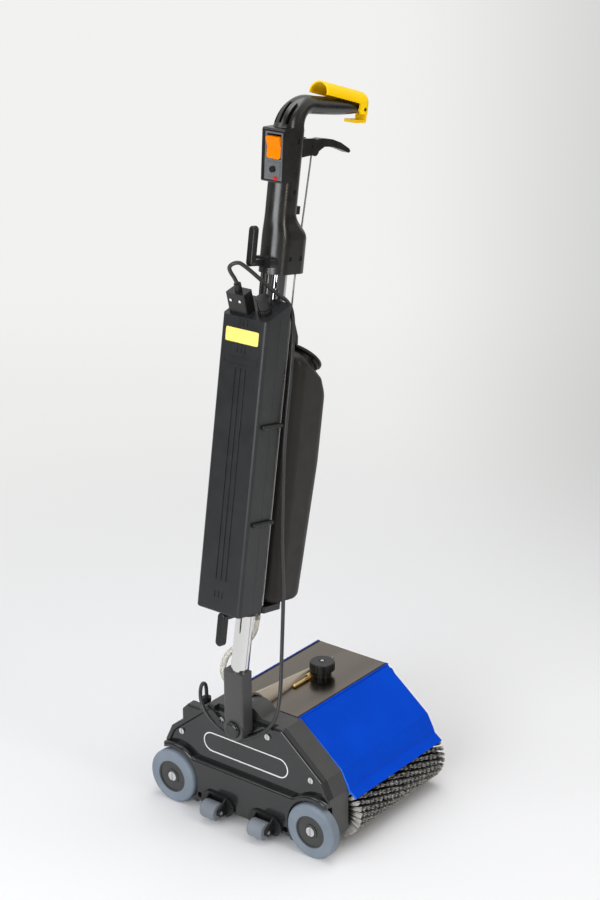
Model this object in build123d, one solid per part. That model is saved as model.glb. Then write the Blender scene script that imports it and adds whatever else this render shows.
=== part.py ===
from build123d import *
import math
import os

os.makedirs("parts", exist_ok=True)

# Frame: millimetres, X across the machine, Y from the wheels to the far brush end, Z up from the floor.
# Depths of the base are counted from the outer wheel faces.
FRONT = -140.65

# Base shell
COVER_Y = FRONT + 15.0
LOWER_Y = FRONT + 7.0
HOUSING_Y = FRONT + 28.0
BACK_Y = FRONT + 65.0
FAR_Y = FRONT + 309.0
SHEET_END = FRONT + 297.0
WALL = 4.0
BACK_WALL = 6.0
FRAME_T = 6.0
OUTLINE = [(74, 191), (152, 127), (165, 100), (165, 30), (147, 9)]
CAVITY_TOP = 163.0
COVER_WALL = 4.0
COVER_EDGE = 4.0
PANEL_LOW = 15.0
PANEL_TOP = 88.0
FENDER = 12.0
RECESS = 2.5
RIM = 10.0
FACE_Y = COVER_Y + RECESS
POCKET_X = 60.0
POCKET_Z = 184.0
BADGE_W = 170.0
BADGE_H = 34.0
BADGE_Z = 124.0
COVER_SCREWS = [(-130, 124), (130, 124), (-46, 171), (46, 171)]
PANEL_HOLE_X = 87.0
PANEL_HOLE_Z = 27.0
PANEL_HOLE_R = 5.0
ENTRY_X0 = -128.0
ENTRY_X1 = -76.0
ENTRY_TOP = 177.0
ENTRY_DEPTH = 17.0
RIDGE_X = -12.0
RIDGE_R = 17.0
RIDGE_LENGTH = 197.0
HUMP_X = -2.0
HUMP_R = 31.0
HUMP_TOP = 205.5

# Wheels and casters
WHEEL_X = 140.0
WHEEL_R = 45.0
WHEEL_W = 20.0
HUB_R = 27.0
WELL_GAP = 4.0
AXLE_R = 6.0
RUN = 0.06
CASTER_X = 48.0
ROLLER_R = 15.0
ROLLER_Z = 22.0
ROLLER_Y = FRONT - 10.0
ROLLER_W = 29.0
CHEEK_T = 3.0
CASTER_PIN_R = 3.0

# Sheets
PLATE_X = 67.5
PLATE_Z = 192.0
SHEET_T = 2.0
COVER_LINE = [(69, 192), (151, 127), (163, 105), (166, 97), (180, 87)]

# Brushes and drive
BRUSH_X = 130.5
BRUSH_R = 52.0
CORE_R = 18.0
BACKING_T = 2.5
BRUSH_Y0 = FRONT + 72.0
BRUSH_Y1 = FRONT + 306.0
SHAFT_R = 6.0
BEARING_R = 14.0
TUFT_RINGS = 13
TUFTS_ROUND = 16
TUFT_TWIST = 7.5
TUFT_BASE = (4.4, 7.0)
TUFT_TIP = (8.4, 13.0)
MODULE = 2.5
BRUSH_TEETH = 20
IDLER_TEETH = 44
PINION_TEETH = 12
PINION_ANGLE = 70.0
GEAR_Y0 = FRONT + 36.0
GEAR_Y1 = FRONT + 50.0
BACKLASH = 0.45
STUD_R = 8.0
MOTOR_R = 30.0
MOTOR_LEN = 130.0
MOTOR_WALL = 3.0
ROTOR_R = 25.0

# Regulator on the top plate
KNOB_X = 10.0
KNOB_Y = FRONT + 202.0
KNOB_R = 20.5
KNOB_H = 14.0
KNOB_BASE_R = 15.0
KNOB_BASE_H = 10.0
KNOB_STEM_R = 4.0

# Leaning handle: local x as X, local y backwards, local z up the shaft
LEAN = 9.84
PIVOT_Y = FRONT - 8.3
PIVOT_Z = 181.0
PIVOT_R = 8.0
FORK_X = 19.0
FORK_FRONT = FRONT - 11.0
FORK_BACK = COVER_Y - 1.7
FORK_TOP = 278.0
TUBE_R = 14.0
TUBE_WALL = 2.0
TUBE_W0 = 80.5
TUBE_W1 = 738.0

# Battery
BAT_X = 42.0
BAT_FRONT = -69.0
BAT_BACK = -TUBE_R - 0.2
BAT_SEAM = -37.5
BAT_W0 = 201.5
BAT_W1 = 649.0
BAT_RISE = 24.0
BAT_WALL = 3.0
CELL_R = 18.5
CELL_LEN = 104.0
CLIP_W = [493.0, 345.0]
MARK_W = [642.0, 602.0, 230.0]

# Tank
TANK_X = 36.0
TANK_V0 = 20.0
TANK_V1 = 114.0
TANK_FOOT_V1 = 100.0
TANK_W0 = 202.0
TANK_KNEE = 420.0
TANK_WALL = 3.0
TANK_CORNER = 26.0
SHOULDER_Y = 30.0
SHOULDER_TILT = 26.0
LID_V = 75.0
LID_W = 578.0
LID_TILT = 38.0
LID_R = 34.0
LID_T = 4.5
NECK_R = 27.0
NECK_H = 9.0
LID_GAP = 0.4
HINGE_R = 3.0
HINGE_PIN_R = 1.5
STRAP_X = 12.0
HOSE_X = -5.0
HOSE_V = 38.0

# Hand housing
BELLY_W0 = 712.0
BELLY_W1 = 762.0
COLUMN_W0 = 800.0
COLUMN_W1 = 921.0
BELLY_SIZE = (48.0, 76.0, 23.5, 6.0)
COLUMN_SIZE = (40.0, 48.0, 19.0, -8.0)
SHELL_T = 3.0
BEND_V = 34.0
BEND_W = 921.0
GRIP_V1 = 157.0
LEVER_PIVOT = (151.0, 951.0)
LEVER_TIP = (54.0, 973.5)
LEVER_END = (152.0, 959.5)
LEVER_X = 17.5
LEVER_T = 2.3
TRIGGER_PIVOT = (40.0, 896.0)
TRIGGER_X = 6.5
TRIGGER_GAP = 0.8
PIN_R = 2.5
ROD_R = 1.3
ROD_TOP = (52.0, 893.0)
ROD_X = 18.0
ROD_V = 17.0
ROD_BEND_W = 700.0
ROD_END_W = 190.0
VALVE_W0 = ROD_END_W
VALVE_W1 = ROD_END_W + 10.0
SWITCH_V = -40.0
SWITCH_W = 884.0
SWITCH_TILT = 5.7
ROCKER_TILT = 8.0

# Cords
CABLE_R = 3.0
HOSE_R = 5.0
HOSE_BORE = 3.2
LEAD_R = 3.0

HANDLE = Pos(0, PIVOT_Y, PIVOT_Z) * Rot(-LEAN, 0, 0)
LID_FRAME = Pos(0, LID_V, LID_W) * Rot(-LID_TILT, 0, 0)
SHOULDER_FRAME = LID_FRAME * Pos(0, SHOULDER_Y, -NECK_H) * Rot(-SHOULDER_TILT, 0, 0)
SWITCH_FRAME = Pos(0, SWITCH_V, SWITCH_W) * Rot(SWITCH_TILT, 0, 0)

nodes = {}


def block(x0, x1, y0, y1, z0, z1):
    size = Box(x1 - x0, y1 - y0, z1 - z0)
    return Pos((x0 + x1) / 2, (y0 + y1) / 2, (z0 + z1) / 2) * size


def rod_x(x0, x1, y, z, r):
    return Pos((x0 + x1) / 2, y, z) * Rot(0, 90, 0) * Cylinder(r, abs(x1 - x0))


def rod_y(x, y0, y1, z, r):
    return Pos(x, (y0 + y1) / 2, z) * Rot(90, 0, 0) * Cylinder(r, abs(y1 - y0))


def rod_z(x, y, z0, z1, r):
    return Pos(x, y, (z0 + z1) / 2) * Cylinder(r, abs(z1 - z0))


def face_xz(points):
    return Polygon(*points, align=None)


def prism_y(shape, y0, y1):
    if isinstance(shape, list):
        shape = face_xz(shape)
    return extrude(Plane.XZ.offset(-y0) * shape, amount=y1 - y0, dir=(0, 1, 0))


def prism_x(shape, x0, x1):
    if isinstance(shape, list):
        shape = face_xz(shape)
    return extrude(Plane.YZ.offset(x0) * shape, amount=x1 - x0, dir=(1, 0, 0))


def both_sides(points):
    right = list(points)
    left = [(-x, z) for x, z in reversed(right)]
    return right + left


def edges_near(part, axis, value, tol=0.01):
    found = []
    for edge in part.edges():
        box = edge.bounding_box()
        low = getattr(box.min, axis)
        high = getattr(box.max, axis)
        if abs(low - value) < tol and abs(high - value) < tol:
            found.append(edge)
    return found


def in_handle(shape):
    return HANDLE * shape


# End housing with the gear chamber
outline = both_sides(OUTLINE)
shell = prism_y(outline, HOUSING_Y, BACK_Y)
inner = offset(face_xz(outline), amount=-WALL, kind=Kind.INTERSECTION)
inner = inner & (Pos(0, CAVITY_TOP / 2) * Rectangle(400, CAVITY_TOP))
chamber = prism_y(inner, HOUSING_Y, BACK_Y - BACK_WALL)
end_housing = shell - chamber
hump = rod_y(HUMP_X, HOUSING_Y, BACK_Y, HUMP_TOP - HUMP_R, HUMP_R)
end_housing += hump - block(-60, 60, HOUSING_Y, BACK_Y, 100, 186)

gear_r = MODULE * BRUSH_TEETH / 2
idler_r = MODULE * IDLER_TEETH / 2
pinion_r = MODULE * PINION_TEETH / 2
IDLER_X = idler_r
IDLER_Z = BRUSH_R + math.sqrt((gear_r + idler_r) ** 2 - (BRUSH_X - IDLER_X) ** 2)
PINION_X = -IDLER_X + (idler_r + pinion_r) * math.cos(math.radians(PINION_ANGLE))
PINION_Z = IDLER_Z + (idler_r + pinion_r) * math.sin(math.radians(PINION_ANGLE))

for side in (-1, 1):
    end_housing += rod_y(side * IDLER_X, GEAR_Y0 - 3, BACK_Y - BACK_WALL, IDLER_Z, STUD_R)
    end_housing += rod_y(side * IDLER_X, GEAR_Y1 + 0.4, BACK_Y - BACK_WALL, IDLER_Z, STUD_R + 3)
    end_housing -= rod_y(side * BRUSH_X, BACK_Y - 20, BACK_Y + 1, BRUSH_R, BEARING_R)
end_housing -= rod_y(PINION_X, BACK_Y - 20, BACK_Y + 1, PINION_Z, SHAFT_R + 4)
end_housing -= rod_y(0, HOUSING_Y - 1, FRONT + 50, PIVOT_Z, PIVOT_R)
nodes["end_housing"] = end_housing

# Side cover: recessed badge face above, proud panel with wheel arches below
entry_outline = [(ENTRY_X1, 130), (ENTRY_X0, 130), (ENTRY_X0, ENTRY_TOP - 12)]
entry_outline += [(ENTRY_X0 + 12, ENTRY_TOP), (ENTRY_X1, ENTRY_TOP)]
cover_face = face_xz(outline) + face_xz(entry_outline)
cover_face = fillet(cover_face.vertices(), 4)
cover = prism_y(cover_face, COVER_Y, HOUSING_Y)
recess = offset(face_xz(outline), amount=-RIM, kind=Kind.INTERSECTION)
recess = recess & (Pos(0, 150) * Rectangle(400, 180))
recess = fillet(recess.vertices(), 8)
cover = fillet(edges_near(cover, "Y", COVER_Y), COVER_EDGE)
floor_face = Plane.XZ.offset(-FACE_Y) * recess
mouth_face = Plane.XZ.offset(-COVER_Y + 1) * offset(recess, amount=3)
cover -= loft([floor_face, mouth_face], ruled=True)
trimmed = offset(face_xz(outline), amount=-1, kind=Kind.INTERSECTION)
panel = Pos(0, (PANEL_LOW + PANEL_TOP) / 2) * Rectangle(2 * WHEEL_X, PANEL_TOP - PANEL_LOW)
for side in (-1, 1):
    panel += Pos(side * WHEEL_X, WHEEL_R) * Circle(WHEEL_R + FENDER)
panel = panel & trimmed
step_corners = [v for v in panel.vertices() if abs(v.Y - PANEL_TOP) < 0.1]
panel = fillet(step_corners, 14)
proud = prism_y(panel, LOWER_Y, HOUSING_Y - 1)
proud = fillet(edges_near(proud, "Y", LOWER_Y), 5.5)
cover += proud
hollow = offset(face_xz(outline), amount=-9, kind=Kind.INTERSECTION)
cover -= prism_y(hollow, FACE_Y + COVER_WALL, HOUSING_Y + 1)
for side in (-1, 1):
    well = rod_y(side * WHEEL_X, COVER_Y + COVER_WALL - 0.5, HOUSING_Y - 0.5, WHEEL_R, WHEEL_R + WELL_GAP + 4)
    cover += well & prism_y(trimmed, COVER_Y, HOUSING_Y)
    cover += rod_y(side * WHEEL_X, COVER_Y + COVER_WALL, HOUSING_Y + 6, WHEEL_R, AXLE_R + 5)
    cover -= rod_y(side * WHEEL_X, FRONT - 1, FRONT + 24, WHEEL_R, WHEEL_R + WELL_GAP)
    cover -= rod_y(side * WHEEL_X, FRONT, HOUSING_Y + 8, WHEEL_R, AXLE_R)
    cover -= rod_y(side * PANEL_HOLE_X, LOWER_Y - 1, HOUSING_Y, PANEL_HOLE_Z, PANEL_HOLE_R)
cover -= block(-POCKET_X, POCKET_X, COVER_Y - 1, HOUSING_Y + 1, POCKET_Z, 200)
boss = rod_y(0, COVER_Y - 1.4, HOUSING_Y - 0.5, PIVOT_Z, PIVOT_R + 5)
cover += boss & block(-20, 20, COVER_Y - 2, HOUSING_Y, 160, POCKET_Z)
for x, z in COVER_SCREWS:
    cover += rod_y(x, COVER_Y + COVER_WALL - 1, HOUSING_Y - 0.5, z, 7)
entry = prism_y(entry_outline, HOUSING_Y - 3, COVER_Y + ENTRY_DEPTH)
entry &= block(-400, ENTRY_X1 - 1, HOUSING_Y - 3, BACK_Y, 0, ENTRY_TOP - 0.5)
cover += entry - prism_y(outline, HOUSING_Y - 4, BACK_Y)
cover -= rod_y(0, COVER_Y - 5, HOUSING_Y + 1, PIVOT_Z, PIVOT_R)
badge = SlotOverall(BADGE_W, BADGE_H)
cover -= prism_y(Pos(0, BADGE_Z) * badge, COVER_Y - 1, FACE_Y + 0.8)
screws = Part()
for x, z in COVER_SCREWS:
    cover -= rod_y(x, COVER_Y - 1, HOUSING_Y + 1, z, 2.5)
    head = rod_y(x, FACE_Y - 2.4, FACE_Y, z, 5) + rod_y(x, FACE_Y, HOUSING_Y - 0.5, z, 2.5)
    head -= block(x - 0.8, x + 0.8, FACE_Y - 3, FACE_Y - 1.2, z - 6, z + 6)
    screws += head
nodes["side_cover"] = cover
nodes["cover_screws"] = screws

# Cable entry behind the block, standing on the sloping shoulder
RELIEF_X = -98.0
RELIEF_Y = FRONT + 42.0
RELIEF_Z = 166.0
RELIEF_TOP = 185.0
end_housing -= rod_z(RELIEF_X, RELIEF_Y, RELIEF_Z, 200, 6)
relief = rod_z(RELIEF_X, RELIEF_Y, RELIEF_Z, RELIEF_TOP, 6)
for i in range(3):
    relief += rod_z(RELIEF_X, RELIEF_Y, RELIEF_TOP - 7 + 2.5 * i, RELIEF_TOP - 5.5 + 2.5 * i, 7.2)
relief -= rod_z(RELIEF_X, RELIEF_Y, RELIEF_Z + 2, RELIEF_TOP + 20, CABLE_R)
relief -= rod_z(RELIEF_X, RELIEF_Y, RELIEF_TOP - 5, RELIEF_TOP + 20, CABLE_R + 0.8)
nodes["strain_relief"] = relief

# Wheels on shouldered screws
axles = Part()
for side, name in ((-1, "left"), (1, "right")):
    x = side * WHEEL_X
    tyre = rod_y(x, FRONT, FRONT + WHEEL_W, WHEEL_R, WHEEL_R)
    rim = [e for e in tyre.edges() if e.geom_type == GeomType.CIRCLE]
    tyre = fillet(rim, 5) - rod_y(x, FRONT - 1, FRONT + 30, WHEEL_R, HUB_R)
    nodes["tyre_" + name] = tyre
    hub = rod_y(x, FRONT + 0.6, FRONT + WHEEL_W - 0.6, WHEEL_R, HUB_R)
    hub -= rod_y(x, FRONT, FRONT + 4, WHEEL_R, 9.5)
    hub -= rod_y(x, FRONT, FRONT + 30, WHEEL_R, AXLE_R + RUN)
    hub -= rod_y(x, FRONT, FRONT + 2, WHEEL_R, HUB_R - 2.5) - rod_y(x, FRONT, FRONT + 2, WHEEL_R, 12.5)
    nodes["hub_" + name] = hub
    axle = rod_y(x, FRONT + 0.6, FRONT + 3.7, WHEEL_R, 8) + rod_y(x, FRONT + 3, HOUSING_Y + 5.5, WHEEL_R, AXLE_R)
    axle += rod_y(x, FRONT + WHEEL_W, FRONT + 24, WHEEL_R, 9)
    axle -= block(x - 0.9, x + 0.9, FRONT, FRONT + 2.2, WHEEL_R - 9, WHEEL_R + 9)
    axles += axle
nodes["wheel_axles"] = axles

# Bumper casters on the lower panel
brackets = Part()
pins = Part()
for side, name in ((-1, "left"), (1, "right")):
    c = side * CASTER_X
    flange = prism_y(Pos(c, 26.5) * SlotOverall(66, 34), LOWER_Y - 4, LOWER_Y)
    flange -= block(c - ROLLER_W / 2 - 1, c + ROLLER_W / 2 + 1, LOWER_Y - 6, LOWER_Y + 1, 4, 39)
    for s in (-1, 1):
        inside = c + s * (ROLLER_W / 2 + 1)
        profile = [(LOWER_Y - 3.9, 13), (LOWER_Y - 3.9, 41), (ROLLER_Y + 2, 33), (ROLLER_Y - 6, 27)]
        profile += [(ROLLER_Y - 7, 20), (ROLLER_Y - 2, 15)]
        cheek = prism_x(profile, min(inside, inside + s * CHEEK_T), max(inside, inside + s * CHEEK_T))
        flange += cheek
    bridge = block(c - ROLLER_W / 2 - 1, c + ROLLER_W / 2 + 1, LOWER_Y - 4, LOWER_Y, 39, 43)
    flange += bridge
    span = ROLLER_W / 2 + 1 + CHEEK_T
    flange -= rod_x(c - span - 1, c + span + 1, ROLLER_Y, ROLLER_Z, CASTER_PIN_R)
    brackets += flange
    pins += rod_x(c - span - 1, c + span + 1, ROLLER_Y, ROLLER_Z, CASTER_PIN_R)
    roller = rod_x(c - ROLLER_W / 2, c + ROLLER_W / 2, ROLLER_Y, ROLLER_Z, ROLLER_R)
    ends = [e for e in roller.edges() if e.geom_type == GeomType.CIRCLE]
    roller = fillet(ends, 2.5) - rod_x(c - 30, c + 30, ROLLER_Y, ROLLER_Z, CASTER_PIN_R + RUN)
    nodes["caster_roller_" + name] = roller
nodes["caster_brackets"] = brackets
nodes["caster_pins"] = pins

# Frame, sheets
rail_slope = (COVER_LINE[1][1] - COVER_LINE[0][1]) / (COVER_LINE[1][0] - COVER_LINE[0][0])
drop = SHEET_T * math.sqrt(1 + rail_slope ** 2)


def under_cover(x):
    return COVER_LINE[0][1] + rail_slope * (x - COVER_LINE[0][0]) - drop


rails = Part()
for side in (-1, 1):
    line = [(50, PLATE_Z - SHEET_T), (PLATE_X, PLATE_Z - SHEET_T), (70, under_cover(70)), (84, under_cover(84))]
    line += [(80, 172), (50, 172)]
    rails += prism_y([(side * x, z) for x, z in line], BACK_Y, SHEET_END - 2)
    rails += block(side * 58 - 8, side * 58 + 8, SHEET_END - 30, FAR_Y, 164, 175)
nodes["frame_rails"] = rails

far_plate = prism_y(both_sides([(67, 175), (145, 72), (151, 60), (151, 40), (138, 32), (112, 40), (46, 145)]), FAR_Y, FAR_Y + FRAME_T)
far_plate += rod_y(0, FAR_Y, FAR_Y + FRAME_T, 160, 12)
for side in (-1, 1):
    far_plate -= rod_y(side * BRUSH_X, FAR_Y - 1, FAR_Y + 20, BRUSH_R, BEARING_R)
nodes["rear_frame"] = far_plate

plate = block(-PLATE_X, PLATE_X, BACK_Y, SHEET_END, PLATE_Z - SHEET_T, PLATE_Z)
along_rib = Pos(RIDGE_X, BACK_Y, PLATE_Z) * Rot(-90, 0, 0)
rib = along_rib * Pos(0, 0, RIDGE_LENGTH / 2) * Cone(RIDGE_R, 1.2, RIDGE_LENGTH)
plate += rib & block(-60, 60, BACK_Y, SHEET_END, PLATE_Z - SHEET_T, 230)
hollow_length = 0.8 * RIDGE_LENGTH
rib_hollow = along_rib * Pos(0, SHEET_T, hollow_length / 2 - 1) * Cone(RIDGE_R - SHEET_T, 2.2, hollow_length)
plate -= rib_hollow
nodes["top_plate"] = plate

for side, name in ((-1, "left"), (1, "right")):
    path = Polyline(*[(side * x, z) for x, z in COVER_LINE])
    sheet = offset(path, amount=SHEET_T, side=Side.RIGHT if side > 0 else Side.LEFT)
    nodes["brush_cover_" + name] = prism_y(make_face(sheet), BACK_Y, SHEET_END)

# Gears


def tooth_points(teeth, centre):
    pitch = MODULE * teeth / 2
    base = pitch * math.cos(math.radians(20))
    top = pitch + MODULE * 0.95
    root = pitch - MODULE * 1.2
    half = math.pi / 2 / teeth - BACKLASH / 2 / pitch
    inv20 = math.tan(math.radians(20)) - math.radians(20)
    flank = []
    low = max(base, root + 0.05)
    for i in range(4):
        r = low + (top - low) * i / 3
        angle = math.acos(min(1.0, base / r))
        flank.append((r, half + inv20 - (math.tan(angle) - angle)))
    flank.insert(0, (root, flank[0][1]))
    points = [(r, centre - a) for r, a in flank]
    points += [(r, centre + a) for r, a in reversed(flank)]
    return points


def gear(x, z, teeth, phase, bore):
    points = []
    for k in range(teeth):
        centre = phase + 2 * math.pi * k / teeth
        for r, a in tooth_points(teeth, centre):
            points.append((x + r * math.cos(a), z + r * math.sin(a)))
    body = prism_y(points, GEAR_Y0, GEAR_Y1)
    return body - rod_y(x, GEAR_Y0 - 1, GEAR_Y1 + 1, z, bore)


def mesh_phase(x1, z1, n1, phase1, x2, z2, n2):
    line = math.atan2(z2 - z1, x2 - x1)
    first = n1 * (line - phase1) / (2 * math.pi)
    return line + math.pi - (0.5 - first) * 2 * math.pi / n2


phase_a = 0.0
phase_b = mesh_phase(-IDLER_X, IDLER_Z, IDLER_TEETH, phase_a, IDLER_X, IDLER_Z, IDLER_TEETH)
phase_l = mesh_phase(-IDLER_X, IDLER_Z, IDLER_TEETH, phase_a, -BRUSH_X, BRUSH_R, BRUSH_TEETH)
phase_r = mesh_phase(IDLER_X, IDLER_Z, IDLER_TEETH, phase_b, BRUSH_X, BRUSH_R, BRUSH_TEETH)
phase_p = mesh_phase(-IDLER_X, IDLER_Z, IDLER_TEETH, phase_a, PINION_X, PINION_Z, PINION_TEETH)
nodes["idler_gear_a"] = gear(-IDLER_X, IDLER_Z, IDLER_TEETH, phase_a, STUD_R + RUN)
nodes["idler_gear_b"] = gear(IDLER_X, IDLER_Z, IDLER_TEETH, phase_b, STUD_R + RUN)
nodes["brush_gear_left"] = gear(-BRUSH_X, BRUSH_R, BRUSH_TEETH, phase_l, SHAFT_R)
nodes["brush_gear_right"] = gear(BRUSH_X, BRUSH_R, BRUSH_TEETH, phase_r, SHAFT_R)

# Motor
motor_end = BACK_Y + MOTOR_LEN
case = rod_y(PINION_X, BACK_Y, motor_end, PINION_Z, MOTOR_R)
case -= rod_y(PINION_X, BACK_Y + MOTOR_WALL, motor_end - MOTOR_WALL, PINION_Z, MOTOR_R - MOTOR_WALL)
case -= rod_y(PINION_X, BACK_Y - 1, motor_end + 1, PINION_Z, SHAFT_R + RUN)
nodes["motor_case"] = case
rotor = rod_y(PINION_X, BACK_Y + 12, motor_end - 12, PINION_Z, ROTOR_R)
rotor += rod_y(PINION_X, GEAR_Y0 - 2, motor_end - 1, PINION_Z, SHAFT_R)
rotor += gear(PINION_X, PINION_Z, PINION_TEETH, phase_p, 2.0)
nodes["motor_rotor"] = rotor

# Brushes: core on a shaft, tufts on a thin backing sleeve
bearings = Part()
tip_r = math.sqrt(BRUSH_R ** 2 - (TUFT_TIP[0] / 2) ** 2)
base_r = CORE_R + BACKING_T - 1.0
tuft = loft([
    Plane.XY.offset(base_r) * Rectangle(*TUFT_BASE),
    Plane.XY.offset(tip_r) * Rectangle(*TUFT_TIP)])
ring_gap = (BRUSH_Y1 - BRUSH_Y0 - 6 - TUFT_TIP[1]) / (TUFT_RINGS - 1)
for side, name in ((-1, "left"), (1, "right")):
    x = side * BRUSH_X
    core = rod_y(x, BRUSH_Y0, BRUSH_Y1, BRUSH_R, CORE_R)
    core += rod_y(x, GEAR_Y0 - 2, FAR_Y + FRAME_T + 1, BRUSH_R, SHAFT_R)
    core += rod_y(x, BACK_Y + 1, BRUSH_Y0, BRUSH_R, 10) + rod_y(x, BRUSH_Y1, FAR_Y - 1, BRUSH_R, 10)
    nodes["brush_core_" + name] = core
    sleeve = rod_y(x, BRUSH_Y0, BRUSH_Y1, BRUSH_R, CORE_R + BACKING_T)
    sleeve -= rod_y(x, BRUSH_Y0 - 1, BRUSH_Y1 + 1, BRUSH_R, CORE_R)
    tufts = []
    for ring in range(TUFT_RINGS):
        y = BRUSH_Y0 + 3 + TUFT_TIP[1] / 2 + ring * ring_gap
        for k in range(TUFTS_ROUND):
            turn = 360 * k / TUFTS_ROUND + side * TUFT_TWIST * ring
            tufts.append(tuft.moved(Pos(x, y, BRUSH_R) * Rot(0, turn, 0)))
    nodes["brush_bristles_" + name] = sleeve.fuse(*tufts)
    for y in (BACK_Y - BACK_WALL, FAR_Y):
        ring = rod_y(x, y, y + 6, BRUSH_R, BEARING_R) - rod_y(x, y - 1, y + 7, BRUSH_R, SHAFT_R + RUN)
        bearings += ring
nodes["brush_bearings"] = bearings

# Regulator: ribbed base, knurled knob, brass feed
base = rod_z(KNOB_X, KNOB_Y, PLATE_Z, PLATE_Z + KNOB_BASE_H, KNOB_BASE_R)
for k in range(16):
    turn = Pos(KNOB_X, KNOB_Y, PLATE_Z + KNOB_BASE_H / 2) * Rot(0, 0, 22.5 * k)
    base -= turn * Pos(KNOB_BASE_R, 0, -1) * Box(1.6, 2.0, KNOB_BASE_H - 4)
base -= rod_z(KNOB_X, KNOB_Y, PLATE_Z + 2, PLATE_Z + 40, KNOB_STEM_R + RUN)
nodes["regulator_base"] = base
knob_z = PLATE_Z + KNOB_BASE_H + 0.4
knob = rod_z(KNOB_X, KNOB_Y, knob_z, knob_z + KNOB_H, KNOB_R)
knob = fillet(edges_near(knob, "Z", knob_z + KNOB_H), 2.5)
for k in range(24):
    turn = Pos(KNOB_X, KNOB_Y, knob_z + KNOB_H / 2) * Rot(0, 0, 15 * k)
    knob -= turn * Pos(KNOB_R, 0, 0) * Box(1.6, 2.0, KNOB_H + 2)
knob += rod_z(KNOB_X, KNOB_Y, PLATE_Z + 3, knob_z + 1, KNOB_STEM_R)
knob -= rod_z(KNOB_X, KNOB_Y, knob_z + KNOB_H - 1.2, knob_z + KNOB_H + 1, 5)
nodes["regulator_knob"] = knob
feed_x = KNOB_X - 7
feed_end = KNOB_Y - KNOB_BASE_R - 0.3
feed = rod_y(feed_x, feed_end - 48, feed_end - 8, PLATE_Z + 3, 3)
feed += block(feed_x - 4.5, feed_x + 5, feed_end - 13, feed_end, PLATE_Z, PLATE_Z + 8)
feed += Pos(feed_x, feed_end - 48, PLATE_Z + 3) * Sphere(3)
nodes["brass_fitting"] = feed

BARB_X = -34.0
BARB_Y = FRONT + 44.0
barb_top = 191 + 13
barb = rod_z(BARB_X, BARB_Y, 189, 191 + 6, 8) + rod_z(BARB_X, BARB_Y, 191 + 5, barb_top, HOSE_BORE - 0.1)
nodes["end_housing"] = end_housing + barb

# Pivot pin and fork
pin = rod_y(0, FORK_FRONT - 0.2, FRONT + 49.5, PIVOT_Z, PIVOT_R)
cap = rod_y(0, FORK_FRONT - 7, FORK_FRONT - 0.2, PIVOT_Z, 14)
pin += fillet(edges_near(cap, "Y", FORK_FRONT - 7), 5)
nodes["pivot_pin"] = pin
fork = rod_y(0, FORK_FRONT, FORK_BACK, PIVOT_Z, FORK_X)
upright = block(-FORK_X, FORK_X, FORK_FRONT, FORK_BACK, PIVOT_Z, FORK_TOP)
sharp = [e for e in upright.edges().filter_by(Axis.Z) if e.center().Y < FORK_FRONT + 1]
fork += fillet(sharp, 5)
fork -= rod_y(0, FORK_FRONT - 1, FORK_BACK + 1, PIVOT_Z, PIVOT_R + RUN)
fork -= in_handle(rod_z(0, 0, TUBE_W0 - 0.5, 200, TUBE_R))
fork += in_handle(rod_z(0, 0, TUBE_W0 - 2, TUBE_W0 + 30, TUBE_R - TUBE_WALL - RUN))
nodes["handle_fork"] = fork
tube = rod_z(0, 0, TUBE_W0, TUBE_W1, TUBE_R) - rod_z(0, 0, TUBE_W0 - 1, TUBE_W1 + 1, TUBE_R - TUBE_WALL)
nodes["shaft_tube"] = in_handle(tube)

# Lower hook: a rounded paddle hanging from its collar


def paddle(w0, w1, half, v0, v1):
    outline = Pos(0, (w0 + w1) / 2) * SlotOverall(w1 - w0, 2 * half, rotation=90)
    body = prism_y(outline, v0, v1)
    return fillet(edges_near(body, "Y", v0) + edges_near(body, "Y", v1), 2.5)


collar = rod_z(0, 0, 187, 199, TUBE_R + 4) + block(-6, 6, -54, 0, 188, 197)
collar += paddle(146, 199, 7, -59.3, -47.3)
collar -= rod_z(0, 0, 180, 205, TUBE_R)
nodes["lower_hook"] = in_handle(collar)

# Battery case, cells, clips and connectors
bat_slope = BAT_RISE / (BAT_BACK - BAT_FRONT)


def battery_top(v):
    return BAT_W1 + (v - BAT_FRONT) * bat_slope


def battery_solid(inset):
    top = inset * math.sqrt(1 + bat_slope ** 2)
    line = [(BAT_FRONT + inset, BAT_W0 + inset), (BAT_FRONT + inset, battery_top(BAT_FRONT + inset) - top)]
    line += [(BAT_BACK - inset, battery_top(BAT_BACK - inset) - top), (BAT_BACK - inset, BAT_W0 + inset)]
    body = prism_x(line, -BAT_X + inset, BAT_X - inset)
    if inset == 0:
        upright_edges = body.edges().filter_by(Axis.Z)
        body = fillet(upright_edges.sort_by(Axis.Y)[0:2], 6)
        body = fillet(body.edges().filter_by(Axis.Z).sort_by(Axis.Y)[-2:], 4)
        body = fillet(edges_near(body, "Z", BAT_W0), 3.5)
    return body


case_out = battery_solid(0) - battery_solid(BAT_WALL)
for k in (-1, 0, 1):
    case_out += block(9.5 * k - 1.5, 9.5 * k + 1.5, BAT_FRONT - 1.2, BAT_FRONT + 1, 252, 574)
    for w in MARK_W:
        case_out -= block(7 * k - 1.4, 7 * k + 1.4, BAT_FRONT - 2, BAT_FRONT + 0.8, w - 5, w + 5)
for w in CLIP_W:
    case_out += block(-17, 17, BAT_BACK - 1, 3, w - 9, w + 9) - rod_z(0, 0, w - 20, w + 20, TUBE_R)
lead_spots = [(-9, -24), (0, -27), (9, -24)]
for x, v in lead_spots:
    case_out -= rod_z(x, v, 655, 690, LEAD_R)
front_half = case_out & block(-60, 60, -120, BAT_SEAM - 0.3, 150, 760)
rear_half = case_out & block(-60, 60, BAT_SEAM, 20, 150, 760)
nodes["battery_front_shell"] = in_handle(front_half)
nodes["battery_rear_shell"] = in_handle(rear_half)
cells = Part()
cell_v = (BAT_FRONT + BAT_BACK) / 2
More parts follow.
